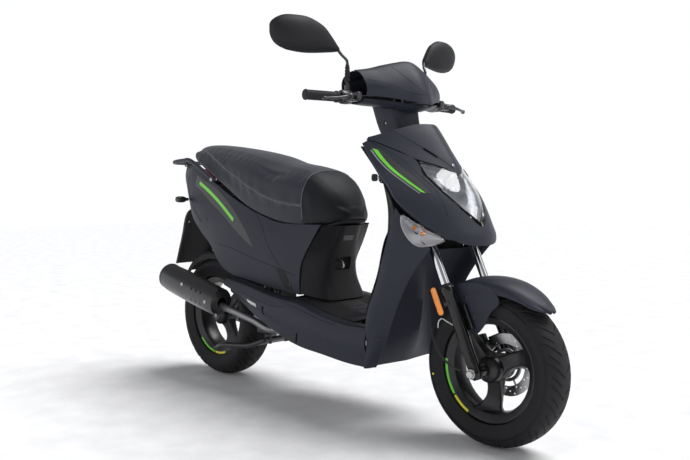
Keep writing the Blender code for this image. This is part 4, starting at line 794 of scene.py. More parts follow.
def front_mudguard():
    """Front guard with side plates and fine seams."""
    rows = []
    for degrees, half, drop in GUARD_STATIONS:
        theta = math.radians(degrees)
        ray = wheel_ray(theta)

        def at(depth, side_share):
            point = FRONT_AXLE + ray * (GUARD_RADIUS - depth) + Vector((0, 0, GUARD_RISE))
            return Vector((point.x, half * side_share, point.z))

        rows.append([at(0.0, 0.0), at(0.0012, 0.30), at(0.0042, 0.58), at(0.0090, 0.76),
                     at(0.0160 * min(1, drop / 0.03), 0.90), at(drop * 0.70, 0.99), at(drop, 1.0)])
    shell = sheet(grid_flow(mirrored(rows), 8, 4), 0.0025, (0.3, 0, 1))
    skin = tree_of(shell)
    piece = Piece("front_mudguard", "fork_lower", "anthracite_plastic", "front_mudguard")
    cutters = []
    for side in (-1, 1):
        for path in (((0.560, 0.470), (0.610, 0.480), (0.660, 0.478), (0.710, 0.460)),
                     ((0.580, 0.452), (0.640, 0.462), (0.690, 0.450), (0.735, 0.424))):
            cutters.append(seam_cutter(lambda x, z, lift, s=side: from_side(skin, s, x, z, lift), path,
                                       0.0009))
    piece.add(carved(shell, *cutters), PLASTIC)
    for side in (-1, 1):
        face = side * 0.0735
        outline = flow_ring([(0.5690, face, 0.4760), (0.5875, face, 0.4356), (0.6175, face, 0.3853),
                             (0.6398, face, 0.3490), (0.6560, face, 0.3440), (0.6800, face, 0.3720),
                             (0.7000, face, 0.4080), (0.7300, face, 0.4420), (0.7000, face, 0.4800),
                             (0.6300, face, 0.4900)], 4)
        shift = Vector((0, -side * 0.0045, 0))
        piece.add(rings_to_shape([outline, [p + shift for p in outline]]), PLASTIC)
        for x, z in ((0.614, 0.446), (0.642, 0.388)):
            piece.add(bolt((x, face + side * 0.0002, z), (0, side, 0), 0.0055, 0.0028), PLASTIC_GLOSS)
    piece.done()


def brake_caliper():
    """Caliper over the disc, with two piston covers."""
    centre = on_leg(0.078, 0.0, -0.072) + Vector((0, 0.0625, 0))
    body = block(centre, (0.046, 0.034, 0.074), 0.006, STEER_UP)
    slot = block(centre + Vector((0.012, -0.007, 0)), (0.060, 0.0075, 0.110), 0.0005, STEER_UP)
    caliper = Piece("brake_caliper", "fork_lower", "black_steel", "brake_caliper")
    caliper.add(carved(body, slot), CAST_BLACK)
    for height in (-0.018, 0.018):
        caliper.add(turn([(0.0, 0.0), (0.0125, 0.0), (0.0130, 0.002), (0.0110, 0.004), (0.0, 0.004)],
                         centre + STEER_UP * height + Vector((0, 0.0168, 0)), (0, 1, 0), 32),
                    CAST_BLACK)
    caliper.done()


def speedo_cable():
    """Cable from the hub up behind the right fork leg."""
    route = [(0.655, -0.148, 0.246), (0.622, -0.151, 0.254), (0.582, -0.152, 0.282),
             (0.552, -0.148, 0.325), (0.534, -0.141, 0.370), (0.524, -0.133, 0.415),
             (0.518, -0.128, 0.455)]
    line = flow(route, 6)
    cable = Piece("speedo_cable", "fork_lower", "black_steel", "speedo_cable")
    cable.add(tube(line, 0.0032, smooth=1, sides=12), GRIP_RUBBER)
    thing = cable.done(0.0)


# ------------------------------------------------------------------ handlebar, controls, mirrors
def handlebar():
    """Bar with its control housings, lever brackets and mirror feet."""
    bar = Piece("handlebar", "steering", "black_steel", "handlebar")
    mid = Vector((0.268, 0.0, 1.040))
    bends = [flip(BAR_END, -1), flip(on_bar(0.20, 1), -1), flip(BAR_BEND, -1), mid, BAR_BEND,
             on_bar(0.20, 1), BAR_END]
    bar.add(tube(bends, 0.011, 6, 24), SATIN_PAINT)
    for side, label in SIDES:
        outward = Vector((BAR_OUT.x, side * BAR_OUT.y, 0))
        inner = on_bar(0.164, side)
        bar.add(turn([(0.0, 0.0), (0.0200, 0.0), (0.0215, 0.003), (0.0222, 0.012), (0.0222, 0.030),
                      (0.0212, 0.036), (0.0190, 0.040), (0.0, 0.040)], inner, outward, 48), SATIN_PAINT)
        bar.add(turn([(0.0, 0.0), (0.0226, 0.0), (0.0226, 0.0012), (0.0, 0.0012)], on_bar(0.146, side),
                     outward, 48), PLASTIC_GLOSS)
        arm_end = Vector((LEVER_PIVOT.x - 0.004, side * (LEVER_PIVOT.y - 0.030), LEVER_PIVOT.z))
        arm_mid = (on_bar(0.150, side) + arm_end) / 2 + Vector((0.006, 0, 0.002))
        bar.add(block(arm_mid, (0.064, 0.022, 0.026), 0.006), SATIN_PAINT)
        foot = Vector((0.232, side * 0.189, 1.058))
        bar.add(rod(foot, foot + Vector((0, 0, 0.032)), 0.0092, edge=0.002), SATIN_PAINT)
        pivot = flip(LEVER_PIVOT, side)
        bar.add(block(pivot + Vector((0, -side * 0.006, -0.0108)), (0.020, 0.040, 0.007), 0.0025),
                SATIN_PAINT)
        bar.add(rod(pivot + Vector((0, 0, -0.0160)), pivot + Vector((0, 0, -0.0142)), 0.0055), ZINC)
    bar.add(rod(on_steering(0.868), mid + Vector((0, 0, 0.016)), 0.018, edge=0.003), SATIN_PAINT)
    bar.done()


def grips():
    """Twist grip on the right and fixed grip on the left, both ribbed."""
    for side, name, body, node in ((-1, "throttle_grip", "throttle", "throttle_grip"),
                                   (1, "grip_left", "steering", "grip_left")):
        start = on_bar(-0.006, side)
        inward = -Vector((BAR_OUT.x, side * BAR_OUT.y, 0))
        profile = [(0.0, 0.0), (0.0120, 0.0), (0.0155, 0.0016), (0.0168, 0.0040), (0.0168, 0.0062),
                   (0.0148, 0.0085)]
        for ridge in range(15):
            at = 0.013 + ridge * 0.0062
            profile += [(0.0146, at), (0.0155, at + 0.0010), (0.0155, at + 0.0036),
                        (0.0146, at + 0.0046)]
        profile += [(0.0148, 0.108), (0.0166, 0.112), (0.0184, 0.115), (0.0184, 0.1195),
                    (0.0166, 0.1215), (0.0116, 0.1215), (0.0116, 0.0070), (0.0, 0.0070)]
        grip = Piece(name, body, "grip_rubber", node)
        grip.add(turn(profile, start, inward, 40), GRIP_RUBBER)
        grip.done(0.0003)


def brake_levers():
    """Ball-ended levers on their pivots."""
    for side, label in SIDES:
        pivot = flip(LEVER_PIVOT, side)
        lever = Piece("brake_lever_" + label, "brake_lever_" + label, "black_aluminium",
                      "brake_lever_" + label)
        path = [pivot + Vector((0.0, 0, 0)), pivot + Vector((0.011, side * 0.022, -0.002)),
                pivot + Vector((0.014, side * 0.050, -0.007)),
                pivot + Vector((0.008, side * 0.082, -0.011)), flip(LEVER_TIP, side)]
        lever.add(tube(path, (0.0072, 0.0062, 0.0050, 0.0046, 0.0050), 8, 20), SATIN_PAINT)
        tip = flip(LEVER_TIP, side)
        ball = [(0.0, -0.0076)] + [(0.0076 * math.sin(math.radians(a)),
                                    -0.0076 * math.cos(math.radians(a)))
                                   for a in range(20, 180, 20)] + [(0.0, 0.0076)]
        lever.add(turn(ball, tip, (0, side, 0), 24), SATIN_PAINT)
        lever.add(rod(pivot - Vector((0, 0, 0.0070)), pivot + Vector((0, 0, 0.0070)), 0.0095,
                      edge=0.002), SATIN_PAINT)
        lever.add(turn([(0.0, 0.0), (0.0050, 0.0), (0.0058, 0.001), (0.0055, 0.003), (0.0, 0.0034)],
                       pivot + Vector((0, 0, 0.0068)), (0, 0, 1), 6), ZINC)
        lever.done()


def buttons():
    """Starter button on the right and horn button on the left."""
    for side, name in ((-1, "starter_button"), (1, "horn_button")):
        base = on_bar(0.140, side) + Vector((-0.0245, 0, 0))
        button = Piece(name, name, "bright_steel", name)
        button.add(turn([(0.0, 0.0), (0.0047, 0.0), (0.0050, 0.0006), (0.0050, 0.0048),
                         (0.0040, 0.0058), (0.0, 0.0060)], base, (-1, 0, 0), 28),
                   RED if side < 0 else YELLOW)
        button.done(0.0002)


def mirrors():
    """Stems with rubber boots, shells and glasses."""
    for side, label in SIDES:
        base = Vector((0.232, side * 0.189, 1.0905))
        top = Vector((0.232, side * 0.189, 1.152))
        root = Vector((0.209, side * 0.210, 1.200))
        piece = Piece("mirror_" + label, "mirror_" + label, "black_plastic", "mirror_" + label)
        piece.add(tube([base, top, top + Vector((-0.003, side * 0.002, 0.016)),
                        Vector((0.216, side * 0.199, 1.184)), root], 0.0047, 8, 18), SATIN_PAINT)
        bellows = [(0.0, 0.008), (0.0080, 0.008)]
        for fold in range(5):
            at = 0.012 + fold * 0.0095
            bellows += [(0.0096 - fold * 0.0005, at), (0.0096 - fold * 0.0005, at + 0.004),
                        (0.0078 - fold * 0.0004, at + 0.007)]
        bellows += [(0.0060, 0.062), (0.0, 0.063)]
        piece.add(turn(bellows, base, (0, 0, 1), 36), GRIP_RUBBER)
        rings = []
        for share, low, high, depth in ((0.0, 0.007, 0.009, 0.010), (0.08, 0.014, 0.030, 0.014),
                                        (0.20, 0.023, 0.055, 0.020), (0.34, 0.033, 0.0655, 0.026),
                                        (0.50, 0.043, 0.0690, 0.031), (0.66, 0.049, 0.0625, 0.034),
                                        (0.80, 0.051, 0.053, 0.033), (0.91, 0.045, 0.038, 0.027),
                                        (0.975, 0.031, 0.023, 0.018), (1.0, 0.014, 0.010, 0.009)):
            middle = root + Vector((-0.054, side * 0.222, 0.048)) * share
            ring = []
            for k in range(20):
                angle = 2 * math.pi * k / 20
                reach = high if math.sin(angle) > 0 else low
                front = max(0.0, math.cos(angle)) ** 0.8 * depth
                back = 0.010 if math.cos(angle) < -0.01 else 0.004 * (1 - max(0.0, math.cos(angle)))
                ring.append(middle + Vector((front - back, 0, math.sin(angle) * reach)))
            rings.append(ring)
        head = rings_to_shape(smooth_stack(rings, 3))
        piece.add(head, PLASTIC_DARK)
        glass = []
        for grow, depth in ((0.90, -0.0085), (0.90, -0.0112), (0.86, -0.0116)):
            outline = []
            for share, low, high in ((0.06, 0.009, 0.018), (0.20, 0.020, 0.048), (0.34, 0.029, 0.0590),
                                     (0.50, 0.038, 0.0625), (0.66, 0.044, 0.0560), (0.80, 0.045, 0.046),
                                     (0.92, 0.036, 0.028), (0.965, 0.020, 0.012)):
                outline.append((share, high * grow / 0.9, low * grow / 0.9))
            upper = [root + Vector((-0.054, side * 0.222, 0.048)) * s + Vector((depth, 0, h)) for s, h,
                     _ in outline]
            lower = [root + Vector((-0.054, side * 0.222, 0.048)) * s + Vector((depth, 0, -l)) for s, _,
                     l in outline]
            glass.append(flow_ring(upper + lower[::-1], 3))
        piece.add(rings_to_shape(glass), GLASS_SILVER)
        piece.done(0.0005)


FRONT_COVER = [[(0.284, 0, 1.173), (0.325, 0, 1.170), (0.362, 0, 1.132), (0.390, 0, 1.082),
                (0.411, 0, 1.028)],
               [(0.275, 0.07, 1.160), (0.312, 0.07, 1.155), (0.346, 0.07, 1.118), (0.366, 0.07, 1.075),
                (0.372, 0.07, 1.040)],
               [(0.262, 0.13, 1.144), (0.292, 0.13, 1.138), (0.322, 0.13, 1.108), (0.338, 0.13, 1.078),
                (0.334, 0.13, 1.048)],
               [(0.250, 0.178, 1.136), (0.272, 0.178, 1.128), (0.293, 0.178, 1.106),
                (0.306, 0.178, 1.078), (0.304, 0.178, 1.052)]]
REAR_COVER = [[(0.280, 0, 1.171), (0.235, 0, 1.166), (0.197, 0, 1.140), (0.187, 0, 1.090),
               (0.212, 0, 1.035), (0.240, 0, 1.022), (0.340, 0, 1.008), (0.402, 0, 1.020)],
              [(0.271, 0.07, 1.158), (0.227, 0.07, 1.151), (0.192, 0.07, 1.126), (0.187, 0.07, 1.085),
               (0.212, 0.07, 1.040), (0.240, 0.07, 1.028), (0.325, 0.07, 1.018), (0.364, 0.07, 1.031)],
              [(0.257, 0.13, 1.142), (0.219, 0.13, 1.133), (0.188, 0.13, 1.110), (0.185, 0.13, 1.080),
               (0.203, 0.13, 1.045), (0.228, 0.13, 1.030), (0.290, 0.13, 1.026), (0.327, 0.13, 1.039)],
              [(0.245, 0.178, 1.134), (0.221, 0.178, 1.128), (0.198, 0.178, 1.110),
               (0.194, 0.178, 1.082), (0.206, 0.178, 1.048), (0.224, 0.178, 1.033),
               (0.266, 0.178, 1.030), (0.297, 0.178, 1.043)]]


def front_cover():
    """Cover ahead of the bar, with its V seams."""
    shell = sheet(grid_flow(mirrored(list(zip(*FRONT_COVER))), 6, 6), PANEL, (1, 0, 0.5))
    skin = tree_of(shell)
    piece = Piece("handlebar_cover_front", "steering", "anthracite_plastic", "handlebar_cover_front")
    grooves = []
    for side in (-1, 1):
        for path in (((side * 0.165, 1.103), (side * 0.110, 1.088), (side * 0.060, 1.066),
                      (0.0, 1.058)), ((side * 0.080, 1.150), (side * 0.050, 1.110),
                                      (side * 0.022, 1.080), (0.0, 1.058))):
            grooves.append(seam_cutter(lambda y, z, lift: from_front(skin, y, z, lift), path, 0.0008))
    piece.add(carved(shell, *grooves), PLASTIC)
    piece.done()


def rear_cover():
    """Cover over the bar, toward the rider, with a blank dark dial."""
    shell = sheet(grid_flow(mirrored(list(zip(*REAR_COVER))), 6, 6), PANEL, (-1, 0, 0))
    piece = Piece("handlebar_cover_rear", "steering", "anthracite_plastic", "handlebar_cover_rear")
    piece.add(carved(shell, rod(on_steering(0.80), on_steering(0.92), 0.024, edge=0)), PLASTIC)
    dial = grid_flow([[(0.226, y, 1.163) for y in (-0.062, 0.0, 0.062)],
                      [(0.196, y, 1.138) for y in (-0.066, 0.0, 0.066)],
                      [(0.187, y, 1.108) for y in (-0.060, 0.0, 0.060)]], 6, 8)
    back = tree_of(shell)
    laid = [[drape(back, (p.x - 0.1, p.y, p.z + 0.05), (1.0, 0.0, -0.5), 0.0022) or p for p in row]
            for row in dial]
    piece.add(sheet(laid, 0.0036, (-1, 0, 0.5)), PLASTIC_GLOSS)
    piece.done()


def neck_cover():
    """Sleeve between the covers and the body, with one screw."""
    rings = []
    for z, half_x, half_y in ((0.915, 0.050, 0.054), (0.960, 0.053, 0.057), (1.003, 0.056, 0.062)):
        axis_x = STEER_BASE.x - (z - STEER_BASE.z) * math.tan(RAKE)
        lift = 0.032 if z > 1.0 else 0.006
        ring = [(axis_x - 0.026 + fx, fy, z + lift)
                for fx, fy in rounded_ring(half_x * 2, half_y * 2, 0.022, 5)]
        rings.append(ring)
    stack = smooth_stack(rings, 5)
    neck = Piece("neck_cover", "steering", "anthracite_plastic", "neck_cover")
    neck_shape = rings_to_shape(stack, caps=False)
    skin = tree_of(neck_shape)
    spot = from_side(skin, -1, 0.272, 0.975, 0.0)
    inner = [[Vector((p[0], p[1], p[2])) for p in ring] for ring in stack]
    middle = [sum((p for p in ring), Vector()) / len(ring) for ring in inner]
    walls = [[p + (c - p).normalized() * PANEL for p in ring] for ring, c in zip(inner, middle)]
    tube_shape = rings_to_shape(inner + walls[::-1], closed_stack=True)
    neck.add(carved(tube_shape, rod(spot + Vector((0, -0.02, 0)), spot + Vector((0, 0.02, 0)), 0.0055,
                                    edge=0)), PLASTIC)
    neck.add(bolt(spot + Vector((0, 0.0035, 0)), (0, -1, 0), 0.0036, 0.002), ZINC)
    neck.done()


# ------------------------------------------------------------------ front bodywork
RIDGE = ((0.580, 0.628), (0.620, 0.632), (0.654, 0.617), (0.700, 0.594), (0.750, 0.566), (0.811, 0.527),
         (0.850, 0.502), (0.900, 0.466), (0.940, 0.436), (0.968, 0.412))
FALL = ((0.600, 0.140), (0.724, 0.130), (0.786, 0.143), (0.830, 0.155), (0.905, 0.156), (0.968, 0.150))
POWER = ((0.600, 2.0), (0.750, 1.9), (0.850, 1.5), (0.968, 1.4))


def shield(y, z, inset=0.0):
    """The front bodywork's outer surface at a side and height."""
    fall = read_off(FALL, z) * (abs(y) / 0.200) ** read_off(POWER, z)
    return Vector((read_off(RIDGE, z) - fall - inset, y, z))


def shield_patch(inner, outer, columns, steps=5, inset=0.0):
    """A dense patch of the shield between two curves of (y, z)."""
    low = flow([(y, z, 0) for y, z in inner], steps)
    high = flow([(y, z, 0) for y, z in outer], steps)
    rows = []
    for a, b in zip(low, high):
        rows.append([shield(a.x + (b.x - a.x) * k / columns, a.y + (b.y - a.y) * k / columns, inset)
                     for k in range(columns + 1)])
    return rows


SEAM = [(0.186, 0.914), (0.151, 0.879), (0.129, 0.843), (0.114, 0.797), (0.101, 0.753), (0.102, 0.685),
        (0.104, 0.613)]
WING_EDGE = [(0.200, 0.905), (0.201, 0.868), (0.201, 0.825), (0.201, 0.774), (0.200, 0.724),
             (0.172, 0.668), (0.124, 0.618)]
INNER = [(0.183, 0.916), (0.155, 0.896), (0.128, 0.876), (0.103, 0.853), (0.104, 0.800), (0.087, 0.750),
         (0.053, 0.700), (0.0, 0.652)]
NOSE_EDGE = [(0.185, 0.9145), (0.153, 0.881), (0.131, 0.846), (0.115, 0.800), (0.1015, 0.755),
             (0.102, 0.690), (0.104, 0.613), (0.0, 0.594)]


def front_shield():
    """Nose and both wings, with plain stripes on the wings."""
    piece = Piece("front_shield", "chassis", "anthracite_plastic", "front_shield")
    for side in (-1, 1):
        wing = shield_patch([(side * y, z) for y, z in SEAM], [(side * y, z) for y, z in WING_EDGE], 14)
        shell = sheet(wing, 0.003, (1, 0, 0), trim=0.0011)
        piece.add(shell, PLASTIC)
        skin = tree_of(shell)

        def cast(y, z, lift, s=side, surface=skin):
            return from_front(surface, s * y, z, lift)

        piece.add(film(cast, [(0.187, 0.893), (0.176, 0.850), (0.158, 0.806), (0.138, 0.752)],
                       [(0.168, 0.886), (0.152, 0.848), (0.134, 0.806), (0.119, 0.752)], 4), DARK_DECAL)
        low = []
        high = []
        for share in (0.0, 0.25, 0.5, 0.75, 1.0):
            z = 0.888 - 0.132 * share
            y = 0.184 - 0.010 * share - 0.034 * share * share
            low.append((y, z))
            high.append((y - 0.0095, z - 0.004))
        piece.add(film(cast, low, high, 5, 0.0007), GREEN)
        low = [(y + 0.0060, z - 0.004) for y, z in low]
        high = [(y + 0.0120, z - 0.001) for y, z in high]
        piece.add(film(cast, low, high, 5, 0.0006), GREY_DECAL)
        rib = [shield(side * y, z, -0.0006) for y, z in ((0.1985, 0.900), (0.1995, 0.860),
                                                         (0.1995, 0.815), (0.1995, 0.770),
                                                         (0.1985, 0.728), (0.170, 0.672))]
        piece.add(tube(rib, (0.0012, 0.0022, 0.0025, 0.0025, 0.0022, 0.0012), 5, 10), PLASTIC)
    inner = INNER + [(-y, z) for y, z in INNER[:-1]][::-1]
    outer = NOSE_EDGE + [(-y, z) for y, z in NOSE_EDGE[:-1]][::-1]
    nose = sheet(shield_patch(inner, outer, 8), 0.003, (1, 0, 0), trim=0.0010)
    piece.add(nose, PLASTIC)
    piece.done()


def front_cowl():
    """Upper nose panel with its V seams and two slots."""
    cowl_low = [(0.0, 0.811), (0.048, 0.832), (0.1005, 0.855), (0.1265, 0.878), (0.1535, 0.898),
                (0.182, 0.9185)]
    cowl_high = [(0.0, 0.968), (0.050, 0.966), (0.098, 0.953), (0.135, 0.941), (0.160, 0.932),
                 (0.182, 0.924)]
    low = [(-y, z) for y, z in cowl_low[1:]][::-1] + cowl_low
    high = [(-y, z) for y, z in cowl_high[1:]][::-1] + cowl_high
    grid = shield_patch(low, high, 16, 5)
    for row in grid:
        for k, p in enumerate(row):
            crest = max(0.0, 1.0 - abs(p.y) / (0.018 + 0.010 * k))
            p.x += 0.0035 * crest
    shell = sheet(grid, PANEL, (1, 0, 0.3), trim=0.0010)
    skin = tree_of(shell)
    cuts = []
    for side in (-1, 1):
        vee = [(side * 0.118, 0.944), (side * 0.082, 0.905), (side * 0.046, 0.866),
               (side * 0.012, 0.826)]
        cuts.append(seam_cutter(lambda y, z, lift: from_front(skin, y, z, lift), vee, 0.0009))
    first = from_front(skin, -0.068, 0.888)
    last = from_front(skin, -0.045, 0.862)
    cuts.append(tube([first, last], 0.0042, 3, 12))
    mirror_first = from_front(skin, 0.068, 0.888)
    mirror_last = from_front(skin, 0.045, 0.862)
    cuts.append(tube([mirror_first, mirror_last], 0.0042, 3, 12))
    cowl = Piece("front_cowl", "chassis", "anthracite_plastic", "front_cowl")
    cowl.add(carved(shell, *cuts), PLASTIC)
    # Dark sheet 8.5 mm behind the cowl: painted shade for the hollow seen through the two slots and
    # past the panel's edges.
    painted_shade_backing_low = [(y, z - (0.012 if abs(y) > 0.11 else -0.004)) for y, z in low]
    cowl.add(sheet(shield_patch(painted_shade_backing_low, [(y, z - 0.004) for y, z in high], 12, 4, 0.0085), 0.0015,
                   (1, 0, 0)), PLASTIC_DARK)
    screw = from_front(skin, -0.010, 0.836)
    cowl.add(bolt(screw, (0.85, 0, 0.5), 0.0045, 0.0024), ZINC)
    cowl.done()


LAMP_MIDDLE = 0.765
BOWL_DROP = 0.004
LAMP_OUTLINE = [(0.0, 0.805), (0.052, 0.829), (0.095, 0.846), (0.098, 0.825), (0.097, 0.800),
                (0.080, 0.753), (0.046, 0.704), (0.0, 0.662)]


def lamp_reach(angle):
    """Distance from the lamp's middle to its outline along an angle."""
    right = [(-y, z) for y, z in LAMP_OUTLINE[1:-1]][::-1]
    ring = LAMP_OUTLINE + right
    dy, dz = math.sin(angle), math.cos(angle)
    best = 0.03
    for (y0, z0), (y1, z1) in zip(ring, ring[1:] + ring[:1]):
        ey, ez = y1 - y0, z1 - z0
        det = dy * -ez + ey * dz
        if abs(det) < 1e-9:
            continue
        py, pz = y0, z0 - LAMP_MIDDLE
        t = (py * -ez + ey * pz) / det
        s = (dy * pz - dz * py) / det
        if t > 0 and -1e-6 <= s <= 1 + 1e-6:
            best = max(best, t)
    return best


def headlight_lens():
    """Clear lens flush with the nose."""
    lens_side = [(0.0985, 0.8485), (0.0990, 0.8005), (0.0820, 0.7530), (0.0480, 0.7045),
                 (0.009, 0.6685)]
    lens_mid = [0.8080, 0.770, 0.730, 0.6920, 0.6625]
    low = flow([(-y, z, 0) for y, z in lens_side], 6)
    high = flow([(y, z, 0) for y, z in lens_side], 6)
    mid = flow([(z, 0, 0) for z in lens_mid], 6)
    rows = []
    for left, middle, right in zip(low, mid, high):
        row = []
        for k in range(-8, 9):
            share = abs(k) / 8
            side = right if k > 0 else left
            row.append(shield(side.x * share, middle.x + (side.y - middle.x) * share))
        rows.append(row)
    lens = Piece("headlight_lens", "chassis", "clear_lens", "headlight_lens")
    lens.add(sheet(rows, 0.0022, (1, 0, 0), trim=0.0008), CLEAR)
    lens.done(0.0004)


def headlight_housing():
    """Faceted reflector, bowl, bulb cap and gasket."""
    count = 96
    rings = []
    for share, inset, round_share in ((0.97, 0.006, 0.0), (0.955, 0.014, 0.0), (0.92, 0.022, 0.05),
                                      (0.86, 0.030, 0.15), (0.80, 0.034, 0.40), (0.74, 0.036, 0.75),
                                      (0.70, 0.037, 1.0)):
        ring = []
        for k in range(count):
            angle = 2 * math.pi * k / count
            reach = lamp_reach(angle) * share
            reach = reach + (0.047 - reach) * round_share
            y = math.sin(angle) * reach
            z = LAMP_MIDDLE + math.cos(angle) * reach - BOWL_DROP * round_share
            ripple = 0.0022 * (1 - round_share) * (0.5 + 0.5 * math.cos(angle * 24)) * min(1.0,
                    (1 - share) * 14)
            ring.append(shield(y, z, inset - ripple))
        rings.append(ring)
    centre = Vector((0.512, 0.0, LAMP_MIDDLE - BOWL_DROP))
    for radius, depth in ((0.0445, 0.004), (0.040, -0.008), (0.033, -0.020), (0.024, -0.030),
                          (0.013, -0.036)):
        ring = []
        for k in range(count):
            angle = 2 * math.pi * k / count
            ring.append(centre + Vector((depth, math.sin(angle) * radius, math.cos(angle) * radius)))
        rings.append(ring)
    back = [[p - Vector((0.0018, 0, 0)) for p in ring] for ring in rings]
    housing = Piece("headlight_housing", "chassis", "lamp_reflector", "headlight_housing")
    gasket = []
    for k in range(73):
        angle = 2 * math.pi * k / 72
        reach = lamp_reach(angle) * 1.004
        gasket.append(shield(math.sin(angle) * reach, LAMP_MIDDLE + math.cos(angle) * reach, 0.0068))
    housing.add(tube(gasket, 0.0020, 1, 10), PLASTIC_DARK)
    housing.add(rings_to_shape(rings + back[::-1], closed_stack=True), SILVER)
    housing.add(turn([(0.0, -0.040), (0.012, -0.038), (0.0135, -0.030), (0.0095, -0.028),
                      (0.0095, -0.016), (0.008, -0.010), (0.004, -0.006), (0.0, -0.005)], centre,
                     (1, 0, 0), 32), SILVER)
    housing.add(turn([(0.047, 0.0), (0.050, 0.0005), (0.0505, 0.004), (0.048, 0.0062), (0.0455, 0.005),
                      (0.0455, 0.001)], centre, (1, 0, 0), 64), SILVER)
    for side in (-1, 1):
        for level in (0.800, 0.815, 0.830):
            bar = [shield(side * y, level + (y - 0.07) * 0.35, 0.017) for y in (0.060, 0.074, 0.086)]
            housing.add(tube(bar, 0.0016, 4, 8), SILVER)
    housing.done(0.0003)


def front_indicators():
    """Clear lens over a cup with two amber bulbs, on each side."""
    for side, label in SIDES:
        face = [(0.1960, 0.6900), (0.1850, 0.6760), (0.1700, 0.6590), (0.1500, 0.6380),
                (0.1290, 0.6190), (0.1270, 0.611), (0.1400, 0.602), (0.157, 0.5955), (0.174, 0.5940),
                (0.190, 0.606), (0.2000, 0.628), (0.2030, 0.656), (0.2010, 0.680)]
        outline = flow_ring([(y, z, 0) for y, z in face], 3)
        middle_y = sum(p.x for p in outline) / len(outline)
        middle_z = sum(p.y for p in outline) / len(outline)

        def ring_at(scale, inset):
            return [shield(side * (middle_y + (p.x - middle_y) * scale),
                           middle_z + (p.y - middle_z) * scale, inset) for p in outline]

        lamp_piece = Piece("indicator_front_" + label, "chassis", "clear_lens",
                           "indicator_front_" + label)
        lamp_piece.add(rings_to_shape([ring_at(0.99, 0.0055), ring_at(0.985, 0.0020),
                                       ring_at(0.95, 0.0008), ring_at(0.60, -0.0002),
                                       ring_at(0.2, -0.0004)]
                                      + [ring_at(0.2, 0.0020), ring_at(0.60, 0.0022),
                                         ring_at(0.93, 0.0034), ring_at(0.955, 0.0055)],
                                      closed_stack=True, caps=False), CLEAR)
        cup = [ring_at(0.95, 0.0065), ring_at(0.90, 0.0120), ring_at(0.80, 0.0190),
               ring_at(0.45, 0.0230), ring_at(0.1, 0.0235)]
        lamp_piece.add(rings_to_shape(cup + [[p - Vector((0.0016, 0, 0)) for p in ring]
                                             for ring in cup[::-1]], closed_stack=True, caps=False),
                       SILVER)
        for share in (0.30, 0.68):
            y = 0.187 - 0.036 * share
            z = 0.664 - 0.044 * share
            spot = shield(side * y, z, 0.0150)
            profile = [(0.0, -0.006), (0.0058, -0.006), (0.0066, -0.003), (0.0070, 0.001),
                       (0.0060, 0.005), (0.0036, 0.0078), (0.0, 0.0088)]
            lamp_piece.add(turn(profile, spot, (0.75, side * 0.65, 0.0), 24), AMBER)
        lamp_piece.done(0.0003)


REAR_EDGE = ((0.20, 0.300), (0.28, 0.311), (0.35, 0.318), (0.40, 0.330), (0.45, 0.354), (0.50, 0.371),
             (0.55, 0.385), (0.62, 0.404), (0.66, 0.420), (0.70, 0.440))
FRONT_EDGE = ((0.20, 0.322), (0.279, 0.362), (0.338, 0.385), (0.404, 0.413), (0.484, 0.454),
              (0.53, 0.481), (0.60, 0.517))
CENTRE_FACE = ((0.20, 0.318), (0.30, 0.368), (0.40, 0.385), (0.50, 0.385), (0.60, 0.375))


def leg_shield():
    """Outer shield around the legs, with a dark backing behind the fork."""
    rows = []
    for z, lift in ((0.590, 1.0), (0.535, 0.0), (0.470, 0.0), (0.400, 0.0), (0.338, 0.0), (0.279, 0.0),
                    (0.201, 0.0)):
        rear_z = z + 0.122 * lift
        rear = read_off(REAR_EDGE, rear_z)
        front = read_off(FRONT_EDGE, z)
        centre = read_off(CENTRE_FACE, z)
        recess = max(0.0, front - 0.09) if z > 0.5 else front - 0.02 - 0.25 * (z - 0.21)
        half = 0.198 if z > 0.3 else 0.188
        inner_z = z - 0.020 * lift
        lead = front + 0.030 * lift + (0.010 if 0.5 < z < 0.55 else 0.0)
        swell = 0.199 if z > 0.3 else half
        row = [(centre, 0.0, inner_z), (recess, 0.128, inner_z),
               (lead - 0.004, 0.1475, z - 0.002 * lift), (lead, 0.1505, z - 0.002 * lift),
               (lead - 0.003, 0.154, z + 0.004 * lift)]
        if lift:
            row.append(tuple(shield(0.176, z + 0.046, 0.027)))
            row.append(tuple(shield(0.188, z + 0.094, 0.026)))
        else:
            row.append((rear + (lead - rear) * 0.64, 0.179, z))
            row.append((rear + (lead - rear) * 0.34, (half + swell) / 2, z))
        rows.append(row + [(rear + 0.003, half, z + 0.122 * lift)])
    half_rows = [[Vector(p) for p in row] for row in rows]
    dense = smooth_stack(half_rows, 6)
    full = []
    for row in dense:
        inner = flow(row[:3], 5)
        rim_part = flow(row[2:5], 2)[1:]
        outer = flow(row[4:], 5)[1:]
        full.append(inner + rim_part + outer)
    piece = Piece("leg_shield", "chassis", "anthracite_plastic", "leg_shield")
    sides = [[(p.x, -p.y, p.z) for p in reversed(row[1:])] + [tuple(p) for p in row] for row in full]
    piece.add(sheet(sides, PANEL, (1, 0, 0)), PLASTIC)
    backing = []
    for z in (0.560, 0.605, 0.650, 0.700):
        backing.append([(0.425, -0.160, z), (0.366, -0.115, z), (0.360, 0.0, z), (0.366, 0.115, z),
                        (0.425, 0.160, z)])
    piece.add(sheet(grid_flow(backing, 3, 6), PANEL, (1, 0, 0)), PLASTIC_DARK)
    for side in (-1, 1):
        for z in (0.545, 0.300):
            front = read_off(FRONT_EDGE, z)
            rear = read_off(REAR_EDGE, z)
            piece.add(bolt(((front + rear) / 2 + 0.012, side * 0.1768, z), (0.45, side * 0.9, 0),
                           0.0042, 0.0022), PLASTIC_GLOSS)
    piece.done()


